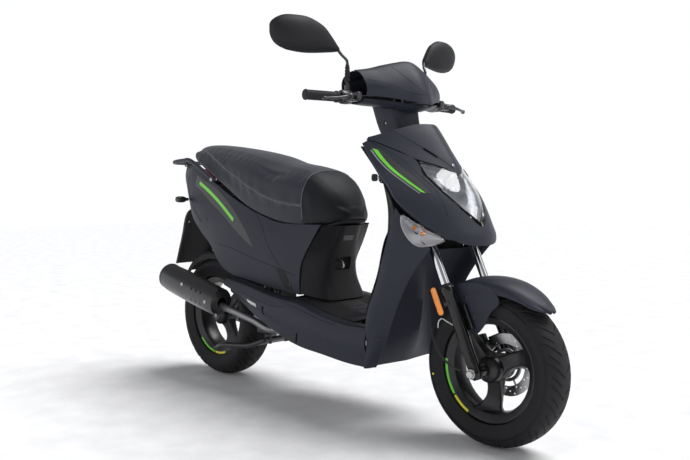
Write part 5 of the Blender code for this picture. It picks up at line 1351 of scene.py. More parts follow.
def leg_shield_inner():
    """Panel toward the rider, with the glove box seam, key hole and bag hook."""
    rows = []
    for z, centre_x in ((0.895, 0.244), (0.80, 0.262), (0.70, 0.285), (0.60, 0.285), (0.50, 0.272),
                        (0.40, 0.244), (0.352, 0.228)):
        edge_x = read_off(REAR_EDGE, z) if z < 0.7 else read_off(((0.70, 0.438), (0.724, 0.447),
                (0.80, 0.382), (0.895, 0.300)), z)
        edge_y = 0.194 if z > 0.36 else 0.186
        rows.append([(centre_x, 0.0, z), (centre_x + 0.004, 0.060, z),
                     (centre_x + (edge_x - centre_x) * 0.45, 0.120, z), (edge_x - 0.006, edge_y, z)])
    shell = sheet(grid_flow(mirrored(rows), 8, 8), PANEL, (-1, 0, 0))
    inner = Piece("leg_shield_inner", "chassis", "black_plastic", "leg_shield_inner")
    hole = rod(KEY_POINT + Vector((-0.05, 0, 0)), KEY_POINT + Vector((0.08, 0, 0)), 0.0135, edge=0)
    skin = tree_of(shell)
    box_line = [(y, z) for y, z in ((0.035, 0.845), (0.140, 0.845), (0.150, 0.800), (0.146, 0.700),
                                    (0.120, 0.672), (0.060, 0.672), (0.030, 0.700), (0.030, 0.800),
                                    (0.035, 0.845))]

    def from_behind(y, z, lift):
        return drape(skin, (-0.2, y, z), (1.0, 0.0, 0.0), lift)

    inner.add(carved(shell, hole), PLASTIC_DARK)
    box_seam = [from_behind(p.x, p.y, 0.0002) for p in flow([(y, z, 0) for y, z in box_line], 5)]
    inner.add(tube(hits(box_seam), 0.0011, 1, 8), PLASTIC_GLOSS)
    inner.add(turn([(0.0137, 0.0), (0.0185, 0.0), (0.0190, 0.0015), (0.0175, 0.004), (0.0137, 0.004)],
                   from_behind(-0.085, 0.800, 0.0) + Vector((0.0035, 0, 0)), (-1, 0, 0), 40), ZINC)
    hook = from_behind(0.0, 0.640, 0.0)
    inner.add(tube([hook + Vector((0.002, 0, 0)), hook + Vector((-0.020, 0, -0.006)),
                    hook + Vector((-0.034, 0, -0.002)), hook + Vector((-0.037, 0, 0.012))], 0.0045, 6,
                   14), PLASTIC_GLOSS)
    inner.done()


def ignition_lock():
    """Lock barrel and key."""
    key = Piece("ignition_lock", "ignition_key", "bright_steel", "ignition_lock")
    key.add(rod(KEY_POINT + Vector((-0.004, 0, 0)), KEY_POINT + Vector((0.045, 0, 0)), 0.012,
                edge=0.0015), STEEL)
    bow = [KEY_POINT + Vector((-0.029 + a, 0, b)) for a, b in rounded_ring(0.026, 0.024, 0.008, 4)]
    key.add(rings_to_shape([[p + Vector((0, y, 0)) for p in bow] for y in (-0.002, 0.002)]),
            PLASTIC_DARK)
    key.add(block(KEY_POINT + Vector((-0.010, 0, 0)), (0.018, 0.0022, 0.008), 0.0006), ZINC)
    key.done()


# ------------------------------------------------------------------ floor and skirts
FLOOR_Z = ((-0.50, 0.432), (-0.40, 0.425), (-0.25, 0.406), (-0.14, 0.388), (-0.02, 0.378),
           (0.11, 0.348), (0.20, 0.336), (0.33, 0.335))


def footboard():
    """Floor with rubber ribs."""
    rows = []
    for x in (0.225, 0.150, 0.070, -0.020, -0.080):
        height = read_off(FLOOR_Z, x)
        rows.append([(x, 0.0, height + 0.006), (x, 0.055, height + 0.006), (x, 0.100, height + 0.004),
                     (x, 0.150, height + 0.001)])
    deck = sheet(grid_flow(mirrored(rows), 6, 4), 0.006, (0, 0, 1))
    skin = tree_of(deck)
    board = Piece("footboard", "chassis", "black_plastic", "footboard")
    board.add(deck, PLASTIC_DARK)
    for side in (-1, 1):
        for k in range(9):
            y = side * (0.052 + 0.0105 * k)
            path = [from_above(skin, x, y, -0.0006) for x in (0.205 - 0.004 * k, 0.14, 0.07, 0.0,
                                                              -0.060 + 0.002 * k)]
            board.add(tube(hits(path), 0.0021, 5, 8), DECK_RUBBER)
    for k in range(7):
        x = 0.195 - 0.036 * k
        path = [from_above(skin, x, y, -0.0004) for y in (-0.038, -0.02, 0.0, 0.02, 0.038)]
        board.add(tube(hits(path), 0.0026, 4, 8), DECK_RUBBER)
    board.done(0.0004)


def side_skirts():
    """Lower side panels with their seams, slots and blank plates."""
    for side, label in SIDES:
        rows = []
        for x, low, lower_half in ((0.294, 0.200, 0.172), (0.210, 0.203, 0.176), (0.100, 0.213, 0.176),
                                   (-0.010, 0.222, 0.174), (-0.100, 0.240, 0.172),
                                   (-0.165, 0.262, 0.170), (-0.250, 0.292, 0.168),
                                   (-0.340, 0.330, 0.160), (-0.440, 0.372, 0.150)):
            high = read_off(FLOOR_Z, x)
            waist = high - 0.055 if x > -0.2 else (high + low) / 2
            top_half = 0.190 if x > -0.2 else 0.190 + (x + 0.2) * 0.06
            rows.append([(x, side * (top_half - 0.036), high - 0.001),
                         (x, side * (top_half - 0.008), high - 0.003),
                         (x, side * top_half, high - 0.012), (x, side * (top_half + 0.006), waist),
                         (x, side * (lower_half + 0.006), low + 0.03), (x, side * lower_half, low)])
        rows[0] = [(max(x, read_off(REAR_EDGE, z) + 0.003), y, z) for x, y, z in rows[0]]
        shell = sheet(grid_flow(rows, 6, 5), PANEL, (0, side, 0))
        skin = tree_of(shell)
        painted_shade_backing = [[(x, y - side * 0.007, z) for x, y, z in row] for row in rows]

        def cast(x, z, lift, s=side, surface=skin):
            return from_side(surface, s, x, z, lift)

        cuts = [seam_cutter(cast, [(-0.055, 0.360), (-0.120, 0.352), (-0.200, 0.362), (-0.300, 0.378),
                                   (-0.420, 0.398)])]
        for first, last in (((-0.190, 0.345), (-0.205, 0.312)), ((-0.020, 0.268), (-0.035, 0.235))):
            start = cast(first[0], first[1], 0.0)
            end = cast(last[0], last[1], 0.0)
            if start is not None and end is not None:
                cuts.append(tube([start, end], 0.0045, 3, 12))
        skirt = Piece("side_skirt_" + label, "chassis", "anthracite_plastic", "side_skirt_" + label)
        skirt.add(carved(shell, *cuts), PLASTIC)
        # Dark sheet 7 mm inside the skirt: painted shade for the hollow seen through the slots and past
        # the panel's edges.
        skirt.add(sheet(grid_flow(painted_shade_backing, 4, 4), 0.0012, (0, side, 0)), PLASTIC_DARK)
        skirt.add(film(cast, [(-0.232, 0.350), (-0.286, 0.362)],
                       [(-0.232, 0.338), (-0.286, 0.350)], 4, 0.0008), PALE_PLATE)
        spot = cast(0.130, 0.262, 0.0)
        skirt.add(bolt(spot, (0, side, 0), 0.0048, 0.0022), PLASTIC_GLOSS)
        lip = [cast(x, z, -0.0008) for x, z in ((-0.10, 0.372), (0.0, 0.356), (0.10, 0.333),
                                                (0.18, 0.322))]
        skirt.add(tube(hits(lip), 0.0016, 6, 8), PLASTIC_DARK)
        skirt.done()


# ------------------------------------------------------------------ body under the seat
BODY_TOP = ((-0.84, 0.862), (-0.76, 0.858), (-0.71, 0.848), (-0.673, 0.835), (-0.516, 0.762),
            (-0.405, 0.714), (-0.307, 0.679), (-0.218, 0.653), (-0.133, 0.638), (-0.062, 0.634))
BODY_LOW = ((-0.84, 0.772), (-0.80, 0.700), (-0.735, 0.630), (-0.669, 0.585), (-0.600, 0.540),
            (-0.500, 0.450), (-0.420, 0.432), (-0.300, 0.418), (-0.180, 0.402), (-0.066, 0.392))
BODY_HALF = ((-0.84, 0.078), (-0.78, 0.104), (-0.70, 0.122), (-0.60, 0.134), (-0.45, 0.146),
             (-0.30, 0.148), (-0.15, 0.142), (-0.066, 0.131))


def centre_cover():
    """Cover ahead of the seat, with a bag hook pocket and a blank badge."""
    rows = []
    for z, front_x, corner_half, side_x, side_half, side_z in ((0.636, 0.066, 0.060, 0.034, 0.112,
                                                                0.636),
                                                               (0.580, 0.040, 0.070, -0.004, 0.126,
                                                                0.578),
                                                               (0.515, 0.018, 0.080, -0.046, 0.131,
                                                                0.510),
                                                               (0.450, 0.014, 0.090, -0.057, 0.131,
                                                                0.452),
                                                               (0.376, 0.040, 0.100, -0.058, 0.134,
                                                                0.396)):
        rows.append([(front_x, 0.0, z), (front_x - 0.002, corner_half * 0.6, z),
                     (front_x - 0.016, corner_half, z + (side_z - z) * 0.3),
                     (side_x, side_half, side_z)])
    shell = sheet(grid_flow(mirrored(rows), 8, 7), PANEL, (1, 0, 0))
    skin = tree_of(shell)

    def ahead(y, z, lift):
        return drape(skin, (0.5, y, z), (-1.0, 0.0, 0.0), lift)

    middle = ahead(0.0, 0.500, 0.0)
    pocket = block(middle, (0.024, 0.082, 0.046), 0.008)
    line = [(0.078, 0.610), (0.070, 0.560), (0.060, 0.470), (0.060, 0.420)]
    seams = [seam_cutter(ahead, [(s * y, z) for y, z in line]) for s in (-1, 1)]
    cover = Piece("center_cover", "chassis", "black_plastic", "center_cover")
    cover.add(carved(shell, pocket, *seams), PLASTIC_DARK)
    back = [[middle + Vector((-0.016 + 0.010 * abs(a) ** 3, a * 0.044, b * 0.026))
             for a in (-1, -0.6, -0.2, 0.2, 0.6, 1)] for b in (-1, -0.5, 0, 0.5, 1)]
    cover.add(sheet(grid_flow(back, 3, 3), 0.002, (1, 0, 0), trim=0), PLASTIC_DARK)
    hook = [middle + Vector(p) for p in ((-0.015, 0, 0.010), (-0.002, 0, 0.006), (0.006, 0, -0.004),
                                         (0.004, 0, -0.014), (-0.004, 0, -0.016))]
    cover.add(tube(hook, 0.0032, 5, 12), ZINC)
    badge = ahead(0.0, 0.592, 0.0)
    plate = [[ahead(y, z, 0.0009) for y in (-0.024, -0.012, 0.0, 0.012, 0.024)]
             for z in (0.601, 0.592, 0.583)]
    if badge is not None:
        cover.add(sheet(plate, 0.0013, (1, 0, 0), trim=0), PLASTIC_GLOSS)
    cover.done()


def body_sides():
    """Side panels under the seat, with plain stripes."""
    for side, label in SIDES:
        rows = [[(0.032, side * 0.120, 0.641), (-0.006, side * 0.131, 0.578),
                 (-0.049, side * 0.1362, 0.504), (-0.0595, side * 0.1355, 0.442),
                 (-0.0600, side * 0.1325, 0.392)]]
        for x in (-0.150, -0.240, -0.330, -0.430, -0.520, -0.600, -0.680, -0.760, -0.840):
            high = read_off(BODY_TOP, x)
            low = read_off(BODY_LOW, x)
            half = read_off(BODY_HALF, x)
            rows.append([(x, side * (half - 0.010), high), (x, side * half, high - (high - low) * 0.25),
                         (x, side * (half + 0.004), high - (high - low) * 0.55),
                         (x, side * (half + 0.002), high - (high - low) * 0.8),
                         (x, side * (half - 0.004), low)])
        shell = sheet(grid_flow(rows, 7, 8), PANEL, (0, side, 0), trim=0.0010)
        skin = tree_of(shell)

        def cast(x, z, lift, s=side, surface=skin):
            return from_side(surface, s, x, z, lift)

        cuts = [seam_cutter(cast, [(-0.600, 0.796), (-0.570, 0.784), (-0.469, 0.755), (-0.370, 0.722),
                                   (-0.314, 0.688), (-0.260, 0.630), (-0.221, 0.566), (-0.185, 0.520),
                                   (-0.150, 0.487)], 0.0013),
                seam_cutter(cast, [(-0.520, 0.548), (-0.450, 0.540), (-0.370, 0.524), (-0.302, 0.508),
                                   (-0.181, 0.484), (-0.120, 0.470), (-0.080, 0.462)], 0.0013)]
        body = Piece("body_side_" + label, "chassis", "anthracite_plastic", "body_side_" + label)
        body.add(carved(shell, *cuts), PLASTIC)
        # Dark sheet 7 mm inside the side panel: painted shade for the hollow seen past the panel's
        # edges.
        painted_shade_backing = [[(x, y - side * 0.007, z) for x, y, z in row] for row in rows]
        body.add(sheet(grid_flow(painted_shade_backing, 4, 5), 0.0012, (0, side, 0)), PLASTIC_DARK)
        upper = [(-0.704, 0.816), (-0.655, 0.797), (-0.576, 0.772), (-0.500, 0.732), (-0.419, 0.676),
                 (-0.350, 0.610), (-0.298, 0.548)]
        lower = [(-0.706, 0.774), (-0.656, 0.750), (-0.570, 0.700), (-0.500, 0.664), (-0.440, 0.626),
                 (-0.362, 0.579), (-0.300, 0.546)]
        body.add(film(cast, upper, lower, 5, 0.0004), DARK_DECAL)
        low = []
        high = []
        for share in (0.0, 0.25, 0.5, 0.75, 1.0):
            x = -0.672 + 0.250 * share
            z = 0.790 - 0.100 * share - 0.040 * share * share
            low.append((x, z))
            high.append((x - 0.004, z - 0.0125))
        body.add(film(cast, low, high, 5, 0.0007), GREEN)
        edge = [cast(x, z, -0.0006) for x, z in ((-0.785, 0.815), (-0.786, 0.784), (-0.768, 0.734),
                                                 (-0.720, 0.674), (-0.660, 0.628))]
        body.add(tube(hits(edge), 0.0021, 6, 10), PLASTIC)
        for x, z in ((-0.610, 0.640), (-0.105, 0.425)):
            body.add(bolt(cast(x, z, 0.0), (0, side, 0), 0.0046, 0.0022), PLASTIC_GLOSS)
        strip = film(cast, [(-0.172, 0.478), (-0.152, 0.440), (-0.130, 0.408)],
                     [(-0.132, 0.474), (-0.112, 0.436), (-0.090, 0.404)], 4, 0.0008)
        body.add(strip, PLASTIC_DARK)
        body.done()


# ------------------------------------------------------------------ tail
def tail_light():
    """Red lens with three ribs."""
    rings = []
    for x, half, low, high, corner in ((-0.815, 0.055, 0.772, 0.842, 0.010),
                                       (-0.845, 0.058, 0.770, 0.839, 0.014),
                                       (-0.866, 0.052, 0.774, 0.833, 0.018),
                                       (-0.876, 0.040, 0.780, 0.826, 0.018)):
        rings.append([(x, a, (low + high) / 2 + b) for a, b in rounded_ring(half * 2, high - low,
                corner, 5)])
    stack = smooth_stack(rings, 4)
    light = Piece("tail_light", "chassis", "red_lens", "tail_light")
    light.add(rings_to_shape(stack), RED)
    for z in (0.786, 0.803, 0.820):
        light.add(tube([(-0.869, -0.038, z), (-0.8755, -0.020, z), (-0.8765, 0.0, z),
                        (-0.8755, 0.020, z), (-0.869, 0.038, z)], 0.0011, 5, 8), RED)
    light.done()


def rear_indicators():
    """Indicators on short rubber stalks."""
    for side, label in SIDES:
        lamp_piece = Piece("indicator_rear_" + label, "chassis", "black_plastic",
                           "indicator_rear_" + label)
        root = Vector((-0.788, side * 0.107, 0.716))
        lamp_piece.add(tube([root, root + Vector((-0.001, side * 0.016, 0)),
                             root + Vector((-0.002, side * 0.024, 0))], (0.0068, 0.0052, 0.0060), 4,
                            16), GRIP_RUBBER)
        rings = []
        for share, size_x, size_z in ((0.0, 0.014, 0.012), (0.12, 0.024, 0.020), (0.35, 0.032, 0.025),
                                      (0.7, 0.033, 0.0255), (0.92, 0.026, 0.020), (1.0, 0.012, 0.010)):
            y = side * (0.116 + 0.045 * share)
            rings.append([(-0.790 + a, y, 0.716 + b) for a, b in rounded_ring(size_x, size_z,
                    min(size_x, size_z) * 0.42, 3)])
        stack = smooth_stack(rings, 4)
        lamp_piece.add(rings_to_shape(stack), SATIN_PAINT)
        glass = []
        for share, size in ((-0.0155, 0.016), (-0.0176, 0.015), (-0.0184, 0.008)):
            glass.append([(-0.790 + share, side * 0.139 + a * 1.9, 0.716 + b) for a,
                          b in rounded_ring(size, size, size * 0.3, 3)])
        lamp_piece.add(rings_to_shape(glass), AMBER)
        lamp_piece.done()


def grab_rail():
    """Tubular rail around the tail, with a slotted plate and two hooks."""
    left = [(-0.545, 0.146, 0.790), (-0.590, 0.1445, 0.814), (-0.640, 0.142, 0.838),
            (-0.735, 0.130, 0.874), (-0.800, 0.121, 0.8745), (-0.860, 0.112, 0.872),
            (-0.898, 0.096, 0.869)]
    route = left + [(-0.911, 0.060, 0.868), (-0.9118, 0.0, 0.868), (-0.911, -0.060, 0.868)]
    route += [(x, -y, z) for x, y, z in left][::-1]
    rail = Piece("grab_rail", "chassis", "anthracite_plastic", "grab_rail")
    rail.add(tube(route, 0.0083, 6, 20), PLASTIC)
    plate = block((-0.866, 0.0, 0.8685), (0.080, 0.206, 0.005), 0.0018)
    slots = [block((-0.866 + dx, dy, 0.8685), (0.008, 0.042, 0.02), 0.0030) for dx in (-0.020, 0.004)
             for dy in (-0.060, 0.0, 0.060)]
    rail.add(carved(plate, *slots), PLASTIC)
    for side in (-1, 1):
        foot = Vector((-0.556, side * 0.1475, 0.796))
        rail.add(bolt(foot + Vector((0, side * 0.007, 0)), (0, side, 0), 0.0062, 0.003), ZINC)
        hook = [(-0.870, side * 0.050, 0.866), (-0.874, side * 0.050, 0.856),
                (-0.884, side * 0.050, 0.853), (-0.890, side * 0.050, 0.859)]
        rail.add(tube(hook, 0.0030, 4, 10), SATIN_PAINT)
    rail.done()


def rear_mudguard():
    """Rear guard with two ribs, two screws and a reflector."""
    rows = []
    for x, z, half in ((-0.780, 0.690, 0.060), (-0.845, 0.660, 0.085), (-0.885, 0.560, 0.086),
                       (-0.936, 0.440, 0.084)):
        rows.append([(x, 0.0, z), (x + 0.002, half * 0.45, z), (x + 0.004, half * 0.8, z),
                     (x + 0.012, half * 0.96, z), (x + 0.030, half, z)])
    shell = sheet(grid_flow(mirrored(rows), 8, 4), 0.003, (-1, 0, 0))
    skin = tree_of(shell)

    def behind(y, z, lift):
        return drape(skin, (-1.4, y, z), (1.0, 0.0, 0.0), lift)

    guard = Piece("rear_mudguard", "chassis", "black_plastic", "rear_mudguard")
    guard.add(shell, PLASTIC_DARK)
    for z in (0.600, 0.500):
        path = [behind(y, z, -0.0003) for y in (-0.064, -0.03, 0.0, 0.03, 0.064)]
        guard.add(tube(hits(path), 0.0022, 5, 8), PLASTIC_DARK)
    for y in (-0.055, 0.055):
        guard.add(bolt(behind(y, 0.620, 0.0), (-0.95, 0, 0.25), 0.005, 0.0025), ZINC)
    reflector = [behind(a, 0.545 + b, 0.004) for a, b in rounded_ring(0.050, 0.026, 0.006, 3)]
    base = [behind(a, 0.545 + b, -0.001) for a, b in rounded_ring(0.050, 0.026, 0.006, 3)]
    guard.add(rings_to_shape([base, reflector]), RED)
    guard.done()


# ------------------------------------------------------------------ seat
SEAT_TABLE = ((-0.775, 0.928, 0.902, 0.070), (-0.745, 0.938, 0.880, 0.100),
              (-0.650, 0.934, 0.842, 0.122), (-0.500, 0.916, 0.778, 0.140),
              (-0.355, 0.892, 0.712, 0.152), (-0.220, 0.858, 0.674, 0.154),
              (-0.120, 0.842, 0.660, 0.150), (-0.030, 0.818, 0.660, 0.136),
              (0.030, 0.776, 0.660, 0.112), (0.070, 0.732, 0.662, 0.076), (0.088, 0.702, 0.666, 0.040))
SEAT_TOP = [(x, high) for x, high, low, half in SEAT_TABLE]
SEAT_FOOT = [(x, low) for x, high, low, half in SEAT_TABLE]
SEAT_SWELL = 0.006
SEAT_MESH = 0.006
SEAT_SEAM = -0.048
SEAT_LIP = ((-0.775, 0.004), (-0.500, 0.010), (-0.300, 0.014), (-0.120, 0.018), (0.025, 0.018),
            (0.060, 0.008), (0.088, 0.003))
PIPING_LINE = ((SEAT_SEAM, 0.705), (-0.060, 0.706), (-0.133, 0.713), (-0.220, 0.732), (-0.306, 0.762),
               (-0.400, 0.800), (-0.508, 0.842), (-0.600, 0.882), (-0.660, 0.904), (-0.720, 0.916))


def seat_blank(shrink):
    """The seat before its padding: a smooth body through the rows of SEAT_TABLE."""
    rings = []
    for x, high, low, half in SEAT_TABLE:
        top = high - shrink
        side = half - shrink
        foot = low - read_off(SEAT_LIP, x)
        shoulder = foot + (top - foot) * 0.62
        half_ring = [(0.0, top), (side * 0.30, top - 0.0015), (side * 0.58, top - 0.008),
                     (side * 0.80, top - 0.024), (side * 0.93, shoulder),
                     (side * 0.985, foot + (top - foot) * 0.38), (side, foot + (top - foot) * 0.2),
                     (side * 0.97, foot + 0.006), (side * 0.92, foot)]
        ring = [(x, y, z) for y, z in half_ring] + [(x, y, foot)
                                                    for y in (side * 0.5, 0.0, -side * 0.5)]
        ring += [(x, -y, z) for y, z in reversed(half_ring[1:])]
        rings.append(ring)
    return rings_to_shape(smooth_stack(rings, 6))


def even_mesh(thing):
    """Remesh a shape into small even faces."""
    remesh = thing.modifiers.new("even", "REMESH")
    remesh.mode = "VOXEL"
    remesh.voxel_size = SEAT_MESH
    bpy.context.view_layer.objects.active = thing
    bpy.ops.object.modifier_apply(modifier="even")


def swollen(thing):
    """Let the padding push the cover out: a short cloth run under inner pressure, then fixed."""
    rest = [vert.co.copy() for vert in thing.data.vertices]
    cloth = thing.modifiers.new("cover", "CLOTH")
    cloth.settings.use_pressure = True
    cloth.settings.uniform_pressure_force = 4.0
    cloth.settings.effector_weights.gravity = 0.0
    cloth.settings.quality = 4
    cloth.point_cache.frame_start = 1
    cloth.point_cache.frame_end = 20
    for number in range(1, 21):
        SCENE.frame_set(number)
    bpy.ops.object.modifier_apply(modifier="cover")
    for vert, start in zip(thing.data.vertices, rest):
        step = vert.co - start
        if step.length > SEAT_SWELL:
            step = step * (SEAT_SWELL / step.length)
        low = read_off(SEAT_FOOT, start.x)
        share = min(1.0, max(0.0, (start.z - low - 0.012) / 0.03))
        step *= share
        vert.co = start + step
    SCENE.frame_set(1)


def seat_cushion():
    """Padded cushion with folds; gives back its surface for the trim."""
    shape = seat_blank(SEAT_SWELL * 0.75)
    cushion = temporary(shape, "seat_cushion_padded")
    cushion.data.name = "seat_cushion_padded"
    even_mesh(cushion)
    swollen(cushion)
    for vert in cushion.data.vertices:
        p = vert.co
        low = read_off(SEAT_FOOT, p.x)
        high = read_off(SEAT_TOP, p.x)
        side_share = min(1.0, max(0.0, (abs(p.y) - 0.08) / 0.05))
        band = math.exp(-((p.z - low - 0.35 * (high - low)) / 0.030) ** 2)
        fold = 0.0011 * math.sin(p.x * 95 + 2.4 * math.sin(p.x * 17) + p.z * 40) * band * side_share
        p.y += fold * (1 if p.y > 0 else -1)
    step = cushion.modifiers.new("fine", "SUBSURF")
    step.levels = 1
    step.render_levels = 1
    bpy.context.view_layer.update()
    fine = cushion.evaluated_get(bpy.context.evaluated_depsgraph_get()).to_mesh()
    skin = BVHTree.FromPolygons([v.co.copy() for v in fine.vertices],
                                [tuple(f.vertices) for f in fine.polygons])
    cushion.data.materials.append(LEATHER)
    cushion.data.materials.append(LEATHER_DARK)
    for face in cushion.data.polygons:
        if face.center.x > SEAT_SEAM:
            face.material_index = 1
    cushion.data.shade_smooth()
    cushion.data.transform(Matrix.Translation((ORIGIN_SHIFT, 0, 0)))
    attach(cushion, "seat")
    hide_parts("seat_cushion")
    return skin


def seat_piping(skin):
    """Piping and stitches laid on the cushion."""
    trim_piece = Piece("seat_piping", "seat", "seat_cover")
    for side in (-1, 1):
        path = [from_side(skin, side, p.x, p.y, 0.0004)
                for p in flow([(x, z, 0) for x, z in PIPING_LINE], 6)]
        path = hits(path)
        trim_piece.add(tube(path, 0.0019, 1, 10), PIPING)
        for offset in (-0.0050, 0.0050):
            stitch_line = [from_side(skin, side, p.x, p.y + offset, 0.0001)
                           for p in flow([(x, z, 0) for x, z in PIPING_LINE], 12)]
            stitch_line = hits(stitch_line)
            for first, last in list(zip(stitch_line, stitch_line[1:]))[::2]:
                trim_piece.add(tube([first, last], 0.00055, 1, 6), THREAD)
    nose = [from_above(skin, x, y, 0.0004) for x, y in ((SEAT_SEAM, -0.112), (SEAT_SEAM, -0.088),
                                                        (SEAT_SEAM, -0.045), (SEAT_SEAM, 0.0),
                                                        (SEAT_SEAM, 0.045), (SEAT_SEAM, 0.088),
                                                        (SEAT_SEAM, 0.112))]
    trim_piece.add(tube(hits(nose), 0.0017, 8, 10), PIPING)
    for side in (-1, 1):
        drop = [from_side(skin, side, x, z, 0.0004) for x, z in ((SEAT_SEAM, 0.800), (SEAT_SEAM, 0.760),
                (SEAT_SEAM, 0.715), (SEAT_SEAM, 0.660))]
        trim_piece.add(tube(hits(drop), 0.0017, 8, 10), PIPING)
    trim_piece.done(0.0)


def seat_base():
    """Plate under the cushion, with rubber feet."""
    rings = []
    for x, high, low, half in SEAT_TABLE[1:-1]:
        top = low - read_off(SEAT_LIP, x) - 0.0009
        rings.append([(x, a, top - 0.0045 + b) for a, b in rounded_ring(half * 1.60, 0.009, 0.003, 3)])
    base = Piece("seat_base", "seat", "black_plastic", "seat_base")
    base.add(rings_to_shape(smooth_stack(rings, 5)), PLASTIC_DARK)
    for x in (-0.20, -0.33, -0.46, -0.59):
        low = read_off(SEAT_FOOT, x)
        base.add(rod((x, -0.06, low - 0.010), (x, -0.06, low - 0.020), 0.009, edge=0.003), GRIP_RUBBER)
        base.add(rod((x, 0.06, low - 0.010), (x, 0.06, low - 0.020), 0.009, edge=0.003), GRIP_RUBBER)
    base.done()


# ------------------------------------------------------------------ engine, exhaust, stand, shock
MUFFLER_LOW = Vector((-0.500, -0.148, 0.322))
MUFFLER_HIGH = Vector((-0.868, -0.148, 0.398))


def crankcase():
    """Case, cylinder with fins, transmission arm and final drive."""
    case = Piece("crankcase", "engine", "black_aluminium", "crankcase")
    case.add(block((-0.370, 0.0345, 0.262), (0.074, 0.183, 0.120), 0.012), CAST_BLACK)
    for side in (-1, 1):
        case.add(block((-0.324, side * 0.036, 0.262), (0.072, 0.014, 0.040), 0.005), CAST_BLACK)
        case.add(block((-0.350, side * 0.040, 0.194), (0.034, 0.012, 0.050), 0.004), CAST_BLACK)
    case.add(block((-0.340, 0.0, 0.346), (0.118, 0.076, 0.074), 0.008), CAST_GREY)
    for k in range(7):
        case.add(block((-0.398 + k * 0.019, 0.0, 0.344), (0.0035, 0.088, 0.070), 0.0015), CAST_GREY)
    case.add(block((-0.276, 0.0, 0.350), (0.016, 0.070, 0.060), 0.006), CAST_GREY)
    case.add(block((-0.5425, 0.104, 0.258), (0.365, 0.044, 0.085), 0.014), CAST_BLACK)
    case.add(rod((REAR_AXLE.x, -0.056, REAR_AXLE.z), (REAR_AXLE.x, 0.110, REAR_AXLE.z), 0.0075), STEEL)
    drive = [(0.0, 0.0), (0.034, 0.0), (0.040, 0.006), (0.0445, 0.014), (0.0450, 0.060), (0.041, 0.067),
             (0.030, 0.0700), (0.0, 0.0705)]
    case.add(turn(drive, (REAR_AXLE.x, 0.0535, REAR_AXLE.z), (0, 1, 0), 48), CAST_BLACK)
    case.add(block((SHOCK_BOTTOM.x, 0.0825, 0.324), (0.030, 0.010, 0.074), 0.004), CAST_BLACK)
    case.add(rod((SHOCK_BOTTOM.x, 0.080, SHOCK_BOTTOM.z), (SHOCK_BOTTOM.x, 0.114, SHOCK_BOTTOM.z),
                 0.0045), ZINC)
    case.add(turn([(0.0, 0.0), (0.034, 0.0), (0.036, 0.002), (0.036, 0.010), (0.030, 0.014),
                   (0.012, 0.0155), (0.0, 0.0155)], (-0.372, -0.0560, 0.262), (0, -1, 0), 48),
             CAST_GREY)
    for k in range(5):
        angle = 2 * math.pi * k / 5 + 0.3
        case.add(bolt((-0.372 + 0.030 * math.cos(angle), -0.0685, 0.262 + 0.030 * math.sin(angle)),
                      (0, -1, 0), 0.0032, 0.003), ZINC)
    case.done()


def cvt_cover():
    """Transmission cover with its ribs and bolts."""
    outline = []
    for x, z in ((-0.716, 0.243), (-0.712, 0.290), (-0.680, 0.312), (-0.600, 0.308), (-0.500, 0.312),
                 (-0.400, 0.316), (-0.345, 0.312), (-0.323, 0.290), (-0.322, 0.240), (-0.340, 0.208),
                 (-0.400, 0.201), (-0.520, 0.205), (-0.620, 0.201), (-0.690, 0.203)):
        outline.append((x, 0.0, z))
    ring = flow_ring(outline, 4)
    middle = Vector((-0.52, 0.0, 0.258))
    stack = []
    for y, scale in ((0.1280, 0.985), (0.1290, 1.0), (0.1460, 1.0), (0.1530, 0.975), (0.1562, 0.93),
                     (0.1562, 0.80), (0.1540, 0.77), (0.1540, 0.30)):
        stack.append([Vector((middle.x + (p.x - middle.x) * scale, y,
                              middle.z + (p.z - middle.z) * (scale * 0.9 + 0.1 * min(1, scale + 0.02))))
                      for p in ring])
    cover = Piece("cvt_cover", "engine", "black_aluminium", "cvt_cover")
    cover.add(rings_to_shape(stack), CAST_BLACK)
    for k in range(6):
        x = -0.660 + 0.052 * k
        cover.add(tube([(x, 0.1542, 0.285), (x + 0.006, 0.1550, 0.262), (x + 0.010, 0.1542, 0.236)],
                       0.0022, 4, 8), CAST_BLACK)
    for x, z in ((-0.700, 0.262), (-0.640, 0.301), (-0.520, 0.302), (-0.400, 0.304), (-0.334, 0.262),
                 (-0.400, 0.212), (-0.520, 0.214), (-0.650, 0.212)):
        cover.add(bolt((x, 0.1530, z), (0, 1, 0), 0.0040, 0.003), ZINC)
    cover.done()


def air_cleaner():
    """Air cleaner box over the transmission."""
    cleaner = Piece("air_cleaner", "engine", "black_plastic", "air_cleaner")
    cleaner.add(block((-0.608, 0.154, 0.358), (0.196, 0.036, 0.070), 0.012, rounds=4), PLASTIC_DARK)
    cleaner.add(block((-0.608, 0.1705, 0.358), (0.176, 0.0045, 0.050), 0.002), PLASTIC_DARK)
    for x in (-0.690, -0.526):
        for z in (0.336, 0.380):
            cleaner.add(bolt((x, 0.1722, z), (0, 1, 0), 0.0034, 0.0010), ZINC)
    cleaner.done()


